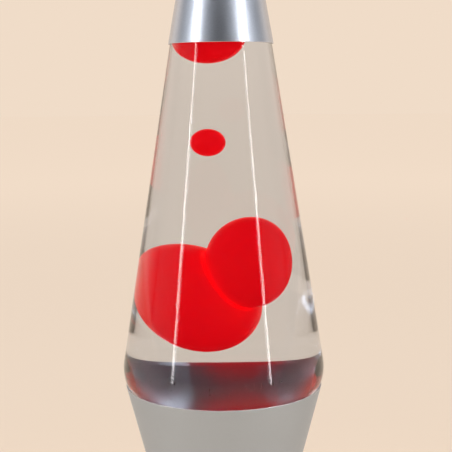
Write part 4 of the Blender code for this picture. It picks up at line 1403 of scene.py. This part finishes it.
class LampOperator:
    """Runs a list of builders, each with the lamp's sizes."""
    bl_options = {"REGISTER", "UNDO"}
    builders = ()

    def execute(self, context):
        for build in self.builders:
            build(context.scene.lamp_sizes)
        return {"FINISHED"}


class LAMP_OT_base(LampOperator, bpy.types.Operator):
    """Build the base's two spun cones and the cord's grommet"""
    bl_idname = "lamp.base"
    bl_label = "Base"
    builders = (build_upper_cone, build_lower_cone, build_grommet)


class LAMP_OT_bottom(LampOperator, bpy.types.Operator):
    """Build the bottom plate, its ring and screws, and the rubber pads"""
    bl_idname = "lamp.bottom"
    bl_label = "Bottom plate and pads"
    builders = (build_bottom,)


class LAMP_OT_holder(LampOperator, bpy.types.Operator):
    """Build the lampholder's mouldings, shell and contacts"""
    bl_idname = "lamp.holder"
    bl_label = "Lampholder"
    builders = (build_holder_body, build_ring_nut, build_holder_cover, build_screw_shell,
                build_centre_contact)

    def execute(self, context):
        for node in ("terminal_screw_live", "terminal_screw_neutral"):
            build_screw(node, "brass", "base", cross=False)
        return super().execute(context)


class LAMP_OT_bulb(LampOperator, bpy.types.Operator):
    """Build the bulb's glass, screw cap, end, stem and filament"""
    bl_idname = "lamp.bulb"
    bl_label = "Bulb"
    builders = (build_envelope, build_screw_cap, build_bulb_end, build_stem, build_filament)


class LAMP_OT_bottle(LampOperator, bpy.types.Operator):
    """Build the glass bottle, its closure and liner"""
    bl_idname = "lamp.bottle"
    bl_label = "Bottle and closure"
    builders = (build_bottle, build_closure)


class LAMP_OT_contents(LampOperator, bpy.types.Operator):
    """Build the liquid, the four blobs of wax and the wire coil"""
    bl_idname = "lamp.contents"
    bl_label = "Liquid and wax"
    builders = (build_liquid, build_wax, build_heat_coil)


class LAMP_OT_cap(LampOperator, bpy.types.Operator):
    """Build the spun cap"""
    bl_idname = "lamp.cap"
    bl_label = "Cap"
    builders = (build_cap,)


class LAMP_OT_stage(bpy.types.Operator):
    """Build the floor, the lights, the room and the camera"""
    bl_idname = "lamp.stage"
    bl_label = "Stage"

    def execute(self, context):
        scene = context.scene
        build_floor(scene.lamp_colours)
        build_lights(scene.lamp_studio)
        build_room(scene.lamp_colours, scene.lamp_studio)
        build_camera(scene.lamp_studio)
        scene.view_settings.view_transform = "Standard"
        scene.cycles.max_bounces = scene.cycles.transmission_bounces = scene.lamp_studio.light_bounces
        return {"FINISHED"}


class LAMP_PT_panel(bpy.types.Panel):
    """Lists the lamp's operators, sizes, colours and studio"""
    bl_label = "Lava lamp"
    bl_idname = "LAMP_PT_panel"
    bl_space_type = "VIEW_3D"
    bl_region_type = "UI"
    bl_category = "Lamp"

    def draw(self, context):
        for operator in OPERATORS:
            self.layout.operator(operator.bl_idname)
        for place in GROUPS:
            box = self.layout.box()
            group = getattr(context.scene, place)
            for label in group.__annotations__:
                box.prop(group, label)


OPERATORS = (LAMP_OT_base, LAMP_OT_bottom, LAMP_OT_holder, LAMP_OT_bulb, LAMP_OT_bottle, LAMP_OT_contents,
             LAMP_OT_cap, LAMP_OT_stage)
GROUPS = {"lamp_sizes": LampSizes, "lamp_wax": LampWax, "lamp_colours": LampColours,
          "lamp_studio": LampStudio}
CLASSES = (*GROUPS.values(), *OPERATORS, LAMP_PT_panel)


def register():
    for kind in CLASSES:
        bpy.utils.register_class(kind)
    for place, group in GROUPS.items():
        setattr(bpy.types.Scene, place, PointerProperty(type=group))


def unregister():
    for place in GROUPS:
        delattr(bpy.types.Scene, place)
    for kind in reversed(CLASSES):
        bpy.utils.unregister_class(kind)


def main():
    register()
    for operator in OPERATORS:
        getattr(bpy.ops.lamp, operator.bl_idname.split(".")[1])()


if __name__ == "__main__":
    main()
